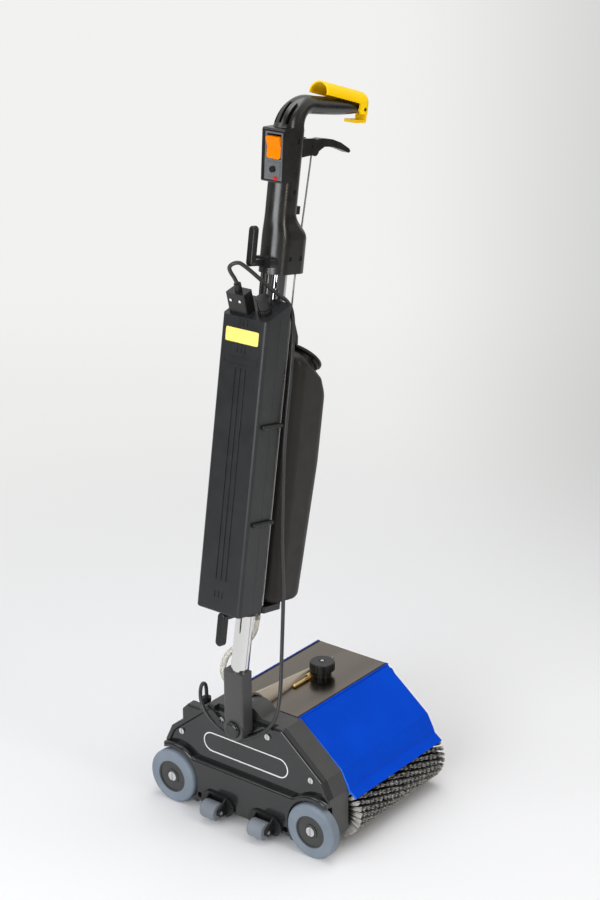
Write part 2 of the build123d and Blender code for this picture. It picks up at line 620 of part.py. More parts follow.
for k in range(4):
    for side in (-1, 1):
        w0 = BAT_W0 + BAT_WALL + 0.5 + k * (CELL_LEN + 1)
        cells += rod_z(side * 19.2, cell_v, w0, w0 + CELL_LEN, CELL_R)
nodes["battery_cells"] = in_handle(cells)
clips = Part()
for w in CLIP_W:
    clip = rod_y(BAT_X + 3.4, BAT_SEAM - 23, BAT_BACK - 0.5, w, 3.4)
    clip = fillet([e for e in clip.edges() if e.geom_type == GeomType.CIRCLE], 1.5)
    for v in (BAT_SEAM - 16, BAT_BACK - 8):
        clip += block(BAT_X, BAT_X + 3, v - 3, v + 3, w - 2.5, w + 2.5)
    clip -= block(0, BAT_X, -90, 0, w - 9, w + 9)
    clips += clip
nodes["battery_clips"] = in_handle(clips)
top_tilt = math.degrees(math.atan(bat_slope))
plug_frame = Pos(-17, -54, battery_top(-54)) * Rot(top_tilt, 0, 0)
plug = block(-17, 17, -10.5, 10.5, 0, 33)
plug = fillet(plug.edges().filter_by(Axis.Z), 2.5)
plug += rod_z(0, 0, 33, 45, 5.5) - rod_z(0, 0, 35, 60, CABLE_R)
plug -= rod_z(0, 0, 42, 60, CABLE_R + 0.8)
for x in (-8.5, 8.5):
    plug += rod_y(x, -11.3, -9, 22, 2.4)
gland_frame = Pos(22, -50, battery_top(-50)) * Rot(top_tilt, 0, 0)
gland = rod_z(0, 0, 0, 9, 10.5) + rod_z(0, 0, 9, 25, 9) + rod_z(0, 0, 25, 28, 10)
for k in range(16):
    gland -= Rot(0, 0, 22.5 * k) * Pos(10.5, 0, 4.5) * Box(1.6, 1.8, 7)
nodes["battery_connectors"] = in_handle(plug_frame * plug + gland_frame * gland)

# Water tank with its neck, lid, strap and valve


def tank_solid(inset):
    width = 2 * (TANK_X - inset)
    radius = TANK_CORNER - inset
    deep = TANK_V1 - TANK_V0 - 2 * inset
    middle = (TANK_V0 + TANK_V1) / 2
    foot = TANK_FOOT_V1 - TANK_V0 - 2 * inset
    foot_mid = (TANK_V0 + TANK_FOOT_V1) / 2
    low = Plane.XY.offset(TANK_W0 + inset) * Pos(0, foot_mid) * RectangleRounded(width - 4, foot, radius)
    knee = Plane.XY.offset(TANK_KNEE) * Pos(0, middle) * RectangleRounded(width, deep, radius)
    body = loft([low, knee], ruled=True) + extrude(knee, amount=260)
    body -= LID_FRAME * block(-100, 100, -150, 150, -NECK_H - inset, 250)
    body -= SHOULDER_FRAME * block(-100, 100, -60, 150, -inset, 150)
    top_edges = [e for e in body.edges() if e.center().Z > TANK_KNEE + 50 and not is_upright(e)]
    body = fillet(top_edges, 14 - inset)
    body = fillet(edges_near(body, "Z", TANK_W0 + inset), 12 - inset)
    return body


def is_upright(edge):
    box = edge.bounding_box()
    return box.size.Z > 60


tank = tank_solid(0) - tank_solid(TANK_WALL)
tank += LID_FRAME * rod_z(0, 0, -NECK_H - 6, -LID_GAP, NECK_R)
tank -= LID_FRAME * rod_z(0, 0, -NECK_H - 14, 10, NECK_R - TANK_WALL)
for w in (270.0, 480.0):
    tank += block(-12, 12, 8, TANK_V0 + 1, w - 12, w + 12) - rod_z(0, 0, w - 20, w + 20, TUBE_R)
nodes["water_tank"] = in_handle(tank)

hinge_y = -LID_R - 3.5
hinge_z = 2.0
lid = rod_z(0, 0, 0, LID_T, LID_R)
lid = fillet(edges_near(lid, "Z", LID_T), 1.8)
skirt = rod_z(0, 0, -5, 0.5, NECK_R + 4) - rod_z(0, 0, -6, 0, NECK_R + 0.6)
lid += skirt - block(-60, 60, -60, -8, -10, 0)
lid += block(-8, 8, hinge_y, -LID_R + 5, 0.5, 4.0) + rod_x(-8, 8, hinge_y, hinge_z, HINGE_R)
lid -= rod_x(-20, 20, hinge_y, hinge_z, HINGE_PIN_R + RUN)
nodes["tank_lid"] = in_handle(LID_FRAME * lid)
tilt = math.radians(LID_TILT)
HINGE_V = LID_V + hinge_y * math.cos(tilt) + hinge_z * math.sin(tilt)
HINGE_W = LID_W - hinge_y * math.sin(tilt) + hinge_z * math.cos(tilt)
strap_line = [(TUBE_R, 660), (26, 658), (HINGE_V + 1, HINGE_W + 12), (HINGE_V + 2.6, HINGE_W), (HINGE_V, HINGE_W - 2.8)]
strap_line += [(HINGE_V - 2.8, HINGE_W), (HINGE_V - 9, HINGE_W + 13), (22, 644), (TUBE_R, 642)]
strap = prism_x(strap_line, -STRAP_X, STRAP_X) + rod_z(0, 0, 642, 660, TUBE_R + 3.5)
strap -= rod_z(0, 0, 600, 700, TUBE_R)
strap -= block(-40, 40, -60, BAT_BACK + 1.2, 600, 700)
strap -= block(-8.4, 8.4, HINGE_V - 4.5, HINGE_V + 12, HINGE_W - 12, HINGE_W + 5)
strap -= rod_x(-30, 30, HINGE_V, HINGE_W, HINGE_PIN_R)
nodes["tank_strap"] = in_handle(strap)

valve = block(-11, 24, 24, 56, VALVE_W0, VALVE_W1) + block(13.5, 24, 13.5, 26, VALVE_W0, VALVE_W1)
valve = fillet(valve.edges().filter_by(Axis.Z), 3)
valve += rod_z(10, 46, VALVE_W1 - 2, TANK_W0, 11)
valve += rod_z(HOSE_X, HOSE_V, VALVE_W0 - 10, VALVE_W0 + 1, 6)
valve += rod_z(HOSE_X, HOSE_V, VALVE_W0 - 21.5, VALVE_W0 - 9, HOSE_BORE - 0.1)
valve -= rod_z(ROD_X, ROD_V, VALVE_W0 - 3, VALVE_W1 + 3, ROD_R + RUN)
nodes["tank_valve"] = in_handle(valve)

# Hand housing: belly, shoulder, column, bend and grip, split down the middle


def section(w, size):
    wide, deep, radius, mid = size
    return Plane.XY.offset(w) * Pos(0, mid) * RectangleRounded(wide, deep, radius)


body = extrude(section(BELLY_W0, BELLY_SIZE), amount=BELLY_W1 - BELLY_W0)
shoulder = []
for k in range(5):
    share = (1 - math.cos(math.pi * k / 4)) / 2
    size = [a + (b - a) * share for a, b in zip(BELLY_SIZE, COLUMN_SIZE)]
    shoulder.append(section(BELLY_W1 + (COLUMN_W0 - BELLY_W1) * k / 4, size))
body += loft(shoulder)
body += extrude(section(COLUMN_W0, COLUMN_SIZE), amount=COLUMN_W1 - COLUMN_W0)
bend = []
for turn, centre, deep, wide, radius in (
        (0, 42.0, 48.0, 40.0, 19.0), (30, 40.5, 39.0, 36.0, 17.0), (60, 37.5, 31.0, 31.0, 14.5), (90, 35.0, 27.0, 28.0, 12.5)):
    a = math.radians(turn)
    spot = (0, BEND_V - centre * math.cos(a), BEND_W + centre * math.sin(a))
    slice_plane = Plane(spot, x_dir=(1, 0, 0), z_dir=(0, math.sin(a), math.cos(a)))
    bend.append(slice_plane * RectangleRounded(wide, deep, radius))
body += loft(bend)
grip = []
for v, w, high, wide, radius in (
        (BEND_V, BEND_W + 35.0, 27.0, 28.0, 12.5), (80, 954.5, 26.0, 28.0, 12.0), (120, 953.5, 23.0, 25.0, 10.5),
        (GRIP_V1, 951.0, 12.0, 16.0, 5.0)):
    slice_plane = Plane((0, v, w), x_dir=(1, 0, 0), z_dir=(0, 1, 0))
    grip.append(slice_plane * RectangleRounded(wide, high, radius))
body += loft(grip)
grip_end = [e for e in body.edges() if e.center().Y > GRIP_V1 - 0.1]
body = fillet(grip_end, 3)
box_side = SWITCH_FRAME * block(-20, 20, 0, 26, -40, 38)
body += fillet(box_side.edges().filter_by(Axis.X).sort_by(Axis.Y)[0:2], 3)
solid_body = body
cheek_line = [(10, 908), (40, 908), (40, 884), (10, 880)]
for side in (-1, 1):
    near = TRIGGER_X + TRIGGER_GAP
    inside, outside = sorted((side * near, side * (near + 4.2)))
    body += prism_x(cheek_line, inside, outside) + rod_x(inside, outside, *TRIGGER_PIVOT, 12)
body += block(4, 12, 8, 22, 798, 810)
body -= extrude(section(740, (42.0, 70.0, 20.5, 6.0)), amount=22)
body -= extrude(section(761, (34.0, 42.0, 15.5, -8.0)), amount=COLUMN_W1 - 768)
body -= rod_z(0, 0, BELLY_W0 - 1, TUBE_W1 + 0.2, TUBE_R)
body -= SWITCH_FRAME * block(-14, 18, -1, 30, -36, 33)
body -= rod_x(-20, 20, TRIGGER_PIVOT[0], TRIGGER_PIVOT[1], PIN_R)
body -= rod_x(-30, 30, LEVER_PIVOT[0], LEVER_PIVOT[1], PIN_R)
rod_way = Line((0, ROD_TOP[0], ROD_TOP[1] - 12), (ROD_X, ROD_V, ROD_BEND_W))
way_dir = (rod_way @ 1) - (rod_way @ 0)
way_plane = Plane(rod_way @ 0, z_dir=way_dir)
body -= extrude(way_plane * Circle(ROD_R + 1.9), amount=way_dir.length)
for k in (-1, 0, 1):
    a = math.radians(24)
    slot_spot = Pos(10.5 * k, BEND_V - 58 * math.cos(a), BEND_W + 58 * math.sin(a)) * Rot(-24, 0, 0)
    body -= slot_spot * Box(4.2, 14, 36)
for x, v in lead_spots:
    body -= rod_z(x, v, BELLY_W0 - 1, BELLY_W0 + 8, LEAD_R)
screw_spots = [(-6, 735), (19, 735), (-6, 832), (-8, 905)]
screw_set = Part()
for v, w in screw_spots:
    wide = BELLY_SIZE[0] / 2 if w < BELLY_W1 else COLUMN_SIZE[0] / 2
    body -= rod_x(wide - 3, wide + 5, v, w, 3.6)
    screw = rod_x(wide - 3, wide - 0.8, v, w, 3.4)
    screw -= block(wide - 1.6, wide + 1, v - 0.6, v + 0.6, w - 5, w + 5)
    screw_set += screw
left_half = body & block(-80, 0, -120, 200, 650, 1050)
right_half = body & block(0, 80, -120, 200, 650, 1050)
nodes["housing_left"] = in_handle(left_half)
nodes["housing_right"] = in_handle(right_half)
nodes["housing_screws"] = in_handle(screw_set)

# Upper hook on the belly front
hook = block(-17, 17, -42, -20, 722, 737)
hook = fillet(hook.edges().filter_by(Axis.Y), 5)
hook += block(-5.5, 5.5, -66, -30, 725, 734)
hook += paddle(724, 783, 6.0, -72, -61)
hook -= solid_body
nodes["upper_hook"] = in_handle(hook)

# Switch plate, rocker, button and lens
panel_plate = block(-14, 18, 0, 3, -36, 33) - block(-10.9, 14.9, -1, 5, -5.4, 30.4)
panel_plate += block(-9, 15, -1.4, 0, -29.8, -10) + block(-6, 10, 3, 4, -34, -8)
panel_plate += block(-12.5, -10.9, 2.9, 16, -4, 29) + block(14.9, 16.5, 2.9, 16, -4, 29)
panel_plate -= rod_y(3, -3, 12, -20, 4.6 + RUN)
panel_plate -= rod_y(7, -3, 12, -33.2, 2.2)
panel_plate -= rod_x(-20, 20, 9, 12.5, 1.5)
nodes["switch_plate"] = in_handle(SWITCH_FRAME * panel_plate)
rocker_line = [(-3.2, -16), (0.2, 0), (-3.2, 16), (7, 15), (11.5, 8), (11.5, -8), (7, -15)]
rocker = prism_x(rocker_line, -12.4, 12.4) & prism_y(RectangleRounded(24.8, 32.4, 4), -10, 20)
rocker += rod_x(-14, 14, 9, 0, 1.5 - RUN)
nodes["rocker"] = in_handle(SWITCH_FRAME * Pos(2, 0, 12.5) * Pos(0, 9, 0) * Rot(ROCKER_TILT, 0, 0) * Pos(0, -9, 0) * rocker)
button = rod_y(3, -5, 8, -20, 4.6) + rod_y(3, 5, 8, -20, 6)
nodes["reset_button"] = in_handle(SWITCH_FRAME * button)
lens = rod_y(7, -1.6, 6, -33.2, 2.2) + rod_y(7, -1.6, 0, -33.2, 3.0)
lens -= block(0, 20, 0, 3, -40, -36)
nodes["indicator_lens"] = in_handle(SWITCH_FRAME * lens)

# Dead man lever: a half pipe with a round end over the grip, and a stop hook below it
lever_run = Vector(0, LEVER_TIP[0] - LEVER_END[0], LEVER_TIP[1] - LEVER_END[1])
pipe_plane = Plane((0, *LEVER_END), z_dir=lever_run)


def lever_form(radius, longer):
    form = extrude(pipe_plane * Circle(radius), amount=lever_run.length + longer)
    form += Pos(0, *LEVER_END) * Sphere(radius)
    return form + rod_z(0, LEVER_END[0], 925, LEVER_END[1], radius)


lever = lever_form(LEVER_X, 0) - lever_form(LEVER_X - LEVER_T, 10)
lever_side = [(40, 974), (40, 1010), (180, 1010), (180, 944), (144, 944), (138, 960)]
lever = lever & prism_x(lever_side, -30, 30)
hook_line = [(163.5, 948), (168.3, 948), (168.3, 930), (136, 930), (136, 935), (163.5, 935)]
hook_face = face_xz(hook_line)
rounded = [v for v in hook_face.vertices() if v.Y < 931]
hook_face = fillet(rounded, 4)
lever += prism_x(hook_face, -9, 9)
lever -= rod_x(-30, 30, LEVER_PIVOT[0], LEVER_PIVOT[1], PIN_R + RUN)
nodes["deadman_lever"] = in_handle(lever)

# Water trigger and its pull rod
t_v, t_w = TRIGGER_PIVOT
arm_line = [(t_v, t_w + 8), (66, 907.5), (92, 906), (114, 901), (136, 892), (139.5, 888), (136, 885.5)]
arm_line += [(114, 891), (92, 895), (74, 895), (60, 888), (t_v + 4, t_w - 8)]
trigger = prism_x(arm_line, -TRIGGER_X, TRIGGER_X) + rod_x(-TRIGGER_X, TRIGGER_X, t_v, t_w, 8)
trigger += rod_x(-TRIGGER_X, TRIGGER_X, ROD_TOP[0] + 1, ROD_TOP[1] - 3, 8.5)
trigger -= rod_x(-20, 20, t_v, t_w, PIN_R + RUN)
trigger -= rod_x(-4.6, 4.6, ROD_TOP[0], ROD_TOP[1], 5.0)
trigger -= block(-3.5, 3.5, ROD_TOP[0] - 7, ROD_TOP[0] + 7, t_w - 20, ROD_TOP[1])
nodes["water_trigger"] = in_handle(trigger)
rod_points = [(0, ROD_TOP[0], ROD_TOP[1]), (0, ROD_TOP[0], ROD_TOP[1] - 12), (ROD_X, ROD_V, ROD_BEND_W)]
rod_points += [(ROD_X, ROD_V, ROD_END_W)]
rod_path = FilletPolyline(*rod_points, radius=[18, 60])
rod = sweep(Plane(rod_path @ 0, z_dir=rod_path % 0) * Circle(ROD_R), path=rod_path)
rod += rod_x(-4.0, 4.0, ROD_TOP[0], ROD_TOP[1], 4.0)
nodes["pull_rod"] = in_handle(rod)

# Pins of the handle: lever, trigger and lid hinge
hand_pins = rod_x(-LEVER_X - 0.6, LEVER_X + 0.6, LEVER_PIVOT[0], LEVER_PIVOT[1], PIN_R)
hand_pins += rod_x(-12.2, 12.2, t_v, t_w, PIN_R)
hand_pins += rod_x(-STRAP_X, STRAP_X, HINGE_V, HINGE_W, HINGE_PIN_R)
nodes["handle_pins"] = in_handle(hand_pins)

# Cords: straight runs joined by tangent arcs


def handle_point(x, v, w):
    a = math.radians(LEAN)
    return (x, PIVOT_Y + v * math.cos(a) + w * math.sin(a), PIVOT_Z + w * math.cos(a) - v * math.sin(a))


def base_point(x, y, z):
    return (x, FRONT + y, z)


def cord(name, points, radius, bore):
    runs = []
    radii = []
    vectors = [Vector(*p) for p in points]
    for a, b in zip(vectors, vectors[1:]):
        runs.append((b - a).length)
    for i in range(1, len(vectors) - 1):
        before = (vectors[i] - vectors[i - 1]).normalized()
        after = (vectors[i + 1] - vectors[i]).normalized()
        turn = math.acos(max(-1.0, min(1.0, before.dot(after))))
        radii.append(0.45 * min(runs[i - 1], runs[i]) / math.tan(turn / 2))
    path = FilletPolyline(*points, radius=radii)
    ring = Circle(radius) - Circle(bore) if bore else Circle(radius)
    solid = sweep(Plane(path @ 0, z_dir=path % 0) * ring, path=path)
    ideal = math.pi * (radius ** 2 - bore ** 2) * path.length
    print(name, "length", round(path.length, 1), "runs", [round(r) for r in runs])
    print(name, "radii", [round(r) for r in radii], "volume ratio", round(solid.volume / ideal, 4))
    return solid


plug_a = (plug_frame * Pos(0, 0, 36)).position
plug_b = (plug_frame * Pos(0, 0, 48)).position
cable_points = [handle_point(plug_a.X, plug_a.Y, plug_a.Z), handle_point(plug_b.X, plug_b.Y, plug_b.Z)]
cable_points += [handle_point(-19.5, -91.5, 717.5), handle_point(-15, -94.5, 725), handle_point(-7, -92, 730)]
cable_points += [handle_point(-0.5, -85.5, 729.5), handle_point(20, -29, 687), handle_point(30.5, -9, 675)]
cable_points += [handle_point(35, 0, 655)]
cable_points += [handle_point(38, 1, 620), handle_point(44, -4, 572)]
cable_points += [handle_point(48, -9, 515), handle_point(47.5, -8, 478)]
cable_points += [base_point(48, 61, 615), base_point(48, 59, 576), base_point(48, 57, 535), base_point(48, 55, 493)]
cable_points += [base_point(49, 54, 451), base_point(52, 52, 419), base_point(54, 49, 388), base_point(56, 44, 348)]
cable_points += [base_point(60, 36, 306), base_point(66, 26, 265), base_point(70, 16, 234), base_point(68, 9, 212)]
cable_points += [base_point(58, 8, 196), base_point(43, 8, 181.5), base_point(22, 8, 166.5), base_point(2, 8, 156)]
cable_points += [base_point(-18, 8, 152.5), base_point(-36, 8, 156), base_point(-55, 8, 165), base_point(-70, 8, 177)]
cable_points += [base_point(-81, 9, 192), base_point(-89, 16, 207), base_point(-95, 28, 215)]
cable_points += [base_point(RELIEF_X, 40, 209), base_point(RELIEF_X, RELIEF_Y - FRONT, 194)]
cable_points += [base_point(RELIEF_X, RELIEF_Y - FRONT, RELIEF_Z + 2)]
nodes["motor_cable"] = cord("motor_cable", cable_points, CABLE_R, 0)

hose_points = [handle_point(HOSE_X, HOSE_V, VALVE_W0 - 12), handle_point(HOSE_X, HOSE_V, VALVE_W0 - 30)]
hose_points += [handle_point(-8, 36, 143), handle_point(-17, 29, 128)]
hose_points += [handle_point(-29, 20, 119), handle_point(-38, 12, 106)]
hose_points += [base_point(-41, 14, 260), base_point(-39, 22, 238), base_point(-35, 36, 224)]
hose_points += [base_point(BARB_X, BARB_Y - FRONT, 212), base_point(BARB_X, BARB_Y - FRONT, 198)]
nodes["clear_hose"] = cord("clear_hose", hose_points, HOSE_R, HOSE_BORE)

leads = Part()
for x, v in lead_spots:
    leads += rod_z(x, v, battery_top(v) - 4, BELLY_W0 + 7, LEAD_R)
nodes["handle_cables"] = in_handle(leads)

for name, shape in nodes.items():
    solids = shape.solids()
    box = shape.bounding_box()
    print(name, len(solids), round(shape.volume), [round(v, 1) for v in (*box.min, *box.max)])
    export_step(Compound(children=list(solids)) if len(solids) > 1 else solids[0], "parts/" + name + ".step")
print(len(nodes), "nodes")
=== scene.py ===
import math

import bmesh
import bpy
from mathutils import Matrix, Vector


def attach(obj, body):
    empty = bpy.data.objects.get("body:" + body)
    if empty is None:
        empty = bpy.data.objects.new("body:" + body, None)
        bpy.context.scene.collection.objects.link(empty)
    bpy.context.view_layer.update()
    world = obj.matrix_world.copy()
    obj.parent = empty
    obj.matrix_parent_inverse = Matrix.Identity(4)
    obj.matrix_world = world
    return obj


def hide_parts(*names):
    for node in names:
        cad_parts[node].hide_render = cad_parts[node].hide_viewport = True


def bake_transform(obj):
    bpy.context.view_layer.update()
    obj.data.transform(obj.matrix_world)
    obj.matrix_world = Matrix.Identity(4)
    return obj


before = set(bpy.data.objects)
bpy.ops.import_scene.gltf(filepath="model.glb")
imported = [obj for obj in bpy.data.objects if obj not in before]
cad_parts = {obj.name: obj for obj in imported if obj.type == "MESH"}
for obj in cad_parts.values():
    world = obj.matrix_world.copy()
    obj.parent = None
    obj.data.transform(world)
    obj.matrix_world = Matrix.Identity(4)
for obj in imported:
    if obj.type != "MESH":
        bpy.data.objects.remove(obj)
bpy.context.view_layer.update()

# The machine's own frame, in metres: X across, Y from the wheels to the far brush end, Z up
FRONT = -0.14065
LEAN = math.radians(9.84)
PIVOT = Vector((0, FRONT - 0.0083, 0.181))

CAMERA_PLACE = (1.8551, -2.33665, 1.7404)
CAMERA_YAW = math.radians(38.2)
CAMERA_PITCH = math.radians(21.0)
CAMERA_ROLL = math.radians(-0.46)
CAMERA_LENS = 84
CAMERA_SENSOR = 36

# Each lamp: where it stands, what it faces, its width and height, its watts and its colour
LAMPS = {
    "key_softbox": ((-1.5, -2.3, 2.5), (0, 0, 0.5), (1.1, 1.5), 14, (0.97, 0.985, 1)),
    "overhead_softbox": ((0.2, 0.4, 3.1), (0, 0, 0.2), (2.2, 2.2), 42, (1, 1, 1)),
    "side_strip": ((2.5, -0.2, 1.5), (0, 0, 0.5), (0.4, 1.8), 14, (1, 0.92, 0.82)),
    "front_window": ((0.35, -2.85, 1.25), (0, -0.05, 0.8), (2.3, 1.7), 60, (0.95, 0.975, 1)),
}
ROOM_COLOUR = (0.97, 0.98, 1.0, 1)
ROOM_LIGHT = 0.42
SWEEP_AXIS = (-0.60, 0.77, 0.20)
MIRRORED_DIM = 0.07
MIRRORED_PALE = 0.80
PAPER_COLOUR = (1.0, 0.998, 0.99, 1)
PAPER_FAR = 0.887
PAPER_HALF = 16.0
PAPER_RIGHT = (0.786, 0.618, 0)
PAPER_AWAY = (-0.618, 0.786, 0)


def handle_point(x, v, w):
    """A point given across, behind and up the leaning shaft."""
    y = PIVOT.y + v * math.cos(LEAN) + w * math.sin(LEAN)
    z = PIVOT.z + w * math.cos(LEAN) - v * math.sin(LEAN)
    return Vector((x, y, z))


def base_point(x, y, z):
    """A point of the base, its depth counted from the outer wheel faces."""
    return Vector((x, FRONT + y, z))


# Node wiring

class Patch:
    """Short calls for wiring a node tree."""

    def __init__(self, tree):
        self.tree = tree

    def node(self, kind, **settings):
        made = self.tree.nodes.new(kind)
        for key, value in settings.items():
            setattr(made, key, value)
        return made

    def feed(self, socket, value):
        """Link a socket to the value's output, or set it to a plain number."""
        if hasattr(value, "is_output"):
            self.tree.links.new(value, socket)
        else:
            socket.default_value = value

    def sum(self, operation, one, two=0.0):
        made = self.node("ShaderNodeMath", operation=operation)
        self.feed(made.inputs[0], one)
        self.feed(made.inputs[1], two)
        return made.outputs[0]

    def between(self, low, high, seed):
        made = self.node("FunctionNodeRandomValue", data_type="FLOAT")
        by_name = {s.name: s for s in made.inputs if s.enabled}
        self.feed(by_name["Min"], low)
        self.feed(by_name["Max"], high)
        self.feed(by_name["Seed"], seed)
        return [s for s in made.outputs if s.enabled][0]

    def vector(self, x, y, z):
        made = self.node("ShaderNodeCombineXYZ")
        for socket, value in zip(made.inputs, (x, y, z)):
            self.feed(socket, value)
        return made.outputs[0]

    def length(self, vector):
        made = self.node("ShaderNodeVectorMath", operation="LENGTH")
        self.feed(made.inputs[0], vector)
        return made.outputs["Value"]

    def along(self, vector, axis):
        made = self.node("ShaderNodeVectorMath", operation="DOT_PRODUCT")
        self.feed(made.inputs[0], vector)
        self.feed(made.inputs[1], axis)
        return made.outputs["Value"]

    def ramp(self, value, start, end, low, high, shape="SMOOTHSTEP"):
        """From low to high while the value goes from start to end."""
        made = self.node("ShaderNodeMapRange", interpolation_type=shape)
        for name, number in (("From Min", start), ("From Max", end), ("To Min", low), ("To Max", high)):
            self.feed(made.inputs[name], number)
        self.feed(made.inputs["Value"], value)
        return made.outputs["Result"]

    def colours(self, fac, low, high, edges=(0.3, 0.7)):
        made = self.node("ShaderNodeValToRGB")
        for stop, place, colour in zip(made.color_ramp.elements, edges, (low, high)):
            stop.position = place
            stop.color = (*colour, 1)
        self.feed(made.inputs["Fac"], fac)
        return made.outputs["Color"]

    def place(self, kind="Object"):
        return self.node("ShaderNodeTexCoord").outputs[kind]

    def camera_rays(self):
        return self.node("ShaderNodeLightPath").outputs["Is Camera Ray"]

    def seen_rays(self):
        """One where the camera, a mirror or clear plastic looks, nought where a surface gathers light."""
        path = self.node("ShaderNodeLightPath")
        so_far = path.outputs["Is Camera Ray"]
        for name in ("Is Glossy Ray", "Is Transmission Ray"):
            so_far = self.sum("MAXIMUM", so_far, path.outputs[name])
        return so_far

    def mix(self, share, one, two):
        made = self.node("ShaderNodeMixShader")
        for socket, value in zip(made.inputs, (share, one, two)):
            self.feed(socket, value)
        return made.outputs[0]


# Camera and studio

def stand_camera():
    level = math.cos(CAMERA_PITCH)
    ahead = Vector((-math.sin(CAMERA_YAW) * level, math.cos(CAMERA_YAW) * level, -math.sin(CAMERA_PITCH)))
    right = Vector((math.cos(CAMERA_YAW), math.sin(CAMERA_YAW), 0))
    up = right.cross(ahead)
    side = math.cos(CAMERA_ROLL) * right + math.sin(CAMERA_ROLL) * up
    top = -math.sin(CAMERA_ROLL) * right + math.cos(CAMERA_ROLL) * up
    lens = bpy.data.cameras.new("studio_camera")
    lens.lens = CAMERA_LENS
    lens.sensor_width = CAMERA_SENSOR
    camera = bpy.data.objects.new("studio_camera", lens)
    turn = Matrix((side, top, -ahead)).transposed().to_4x4()
    camera.matrix_world = Matrix.Translation(CAMERA_PLACE) @ turn
    bpy.context.collection.objects.link(camera)
    bpy.context.scene.camera = camera


def soft_light(name, place, target, size, power, colour):
    lamp = bpy.data.lights.new(name, "AREA")
    lamp.shape = "RECTANGLE"
    lamp.size, lamp.size_y = size
    lamp.energy = power
    lamp.color = colour
    light = bpy.data.objects.new(name, lamp)
    light.location = place
    light.rotation_euler = (Vector(target) - Vector(place)).to_track_quat("-Z", "Y").to_euler()
    bpy.context.collection.objects.link(light)


def light_studio():
    """A pale sweep behind the machine, a dimmer room behind the camera, and soft lamps."""
    world = bpy.data.worlds.new("studio_room")
    bpy.context.scene.world = world
    world.use_nodes = True
    world.node_tree.nodes.clear()
    p = Patch(world.node_tree)
    room, seen = p.node("ShaderNodeBackground"), p.node("ShaderNodeBackground")
    p.feed(room.inputs["Color"], ROOM_COLOUR)
    p.feed(room.inputs["Strength"], ROOM_LIGHT)
    p.feed(seen.inputs["Color"], PAPER_COLOUR)
    mirrored = p.ramp(p.along(p.place("Generated"), SWEEP_AXIS), -0.35, 0.55, MIRRORED_DIM, MIRRORED_PALE)
    p.feed(seen.inputs["Strength"], p.sum("MAXIMUM", mirrored, p.sum("MULTIPLY", p.camera_rays(), PAPER_FAR)))
    p.feed(p.node("ShaderNodeOutputWorld").inputs["Surface"],
           p.mix(p.seen_rays(), room.outputs[0], seen.outputs[0]))
    for name, lamp in LAMPS.items():
        soft_light(name, *lamp)


def lay_floor():
    """Paper that takes the machine's shadow near it and farther off shows a pale tone with painted shade and a
    painted shadow.
    """
    mesh = bpy.data.meshes.new("studio_floor")
    corners = [(x * PAPER_HALF, y * PAPER_HALF, 0) for x, y in ((-1, -1), (1, -1), (1, 1), (-1, 1))]
    mesh.from_pydata(corners, [], [(0, 1, 2, 3)])
    floor = bpy.data.objects.new("studio_floor", mesh)
    bpy.context.collection.objects.link(floor)
    material, p, shader = new_finish("studio_paper")
    p.feed(shader.inputs["Roughness"], 0.85)
    p.feed(shader.inputs["Specular IOR Level"], 0.1)
    place = p.place()
    cloud = p.node("ShaderNodeTexNoise")
    p.feed(cloud.inputs["Scale"], 0.35)
    p.feed(cloud.inputs["Vector"], place)
    paper = p.colours(cloud.outputs["Fac"], (0.84, 0.84, 0.845), (0.88, 0.88, 0.885), (0, 1))
    p.feed(shader.inputs["Base Color"], paper)
    distance = p.length(place)
    across, away = p.along(place, PAPER_RIGHT), p.along(place, PAPER_AWAY)
    share = p.sum("MULTIPLY", p.ramp(distance, 0.45, 1.9, 0.0, 1.0), p.seen_rays())
    # Painted shade: the pale tone darkens a little away from the machine and lifts again farther off, and a soft
    # wedge of painted shadow darkens the right
    pale = p.sum("ADD", p.ramp(away, -0.3, 1.5, 0.93, 0.845), p.ramp(away, 1.7, 2.9, 0.0, 0.042))
    aside = p.sum("DIVIDE", across, p.sum("MAXIMUM", p.sum("ADD", away, 3.0), 2.0))
    painted_shadow_wedge = p.ramp(aside, 0.03, 0.19, 0.0, 0.28)
    for value, limits in ((aside, (0.17, 0.60, 1.0, 0.0)), (away, (-0.6, 0.8, 0.0, 1.0)),
                          (distance, (8.6, 15.5, 1.0, 0.0))):
        painted_shadow_wedge = p.sum("MULTIPLY", painted_shadow_wedge, p.ramp(value, *limits))
    shaded_tone = p.sum("MULTIPLY", pale, p.sum("SUBTRACT", 1.0, painted_shadow_wedge))
    # Mirror surfaces see the paper end in a dim room beside the machine
    shown = p.sum("MAXIMUM", p.ramp(p.sum("ABSOLUTE", across), 1.8, 3.4, 1.0, 0.10), p.camera_rays())
    glow = p.node("ShaderNodeEmission")
    p.feed(glow.inputs["Color"], PAPER_COLOUR)
    p.feed(glow.inputs["Strength"], p.sum("MULTIPLY", shaded_tone, shown))
    p.feed(p.tree.nodes["Material Output"].inputs["Surface"], p.mix(share, shader.outputs["BSDF"], glow.outputs[0]))
    floor.data.materials.append(material)


# Finishes

PATCHES = 18
BRUSHED = (1, 0.03, 1)
RIB_FOOT, RIB_SIDE = 0.1922, 0.1940


def new_finish(name):
    material = bpy.data.materials.new(name)
    material.use_nodes = True
    material.node_tree.nodes.clear()
    p = Patch(material.node_tree)
    shader = p.node("ShaderNodeBsdfPrincipled")
    p.feed(p.node("ShaderNodeOutputMaterial").inputs["Surface"], shader.outputs["BSDF"])
    return material, p, shader


def spread(p, scale, detail, stretch=(1, 1, 1)):
    """Noise over the piece, scaled in features per metre and drawn out along an axis."""
    fit = p.node("ShaderNodeMapping")
    p.feed(fit.inputs["Scale"], stretch)
    p.feed(fit.inputs["Vector"], p.place())
    noise = p.node("ShaderNodeTexNoise")
    p.feed(noise.inputs["Scale"], scale)
    p.feed(noise.inputs["Detail"], detail)
    p.feed(noise.inputs["Vector"], fit.outputs["Vector"])
    return noise.outputs["Fac"]


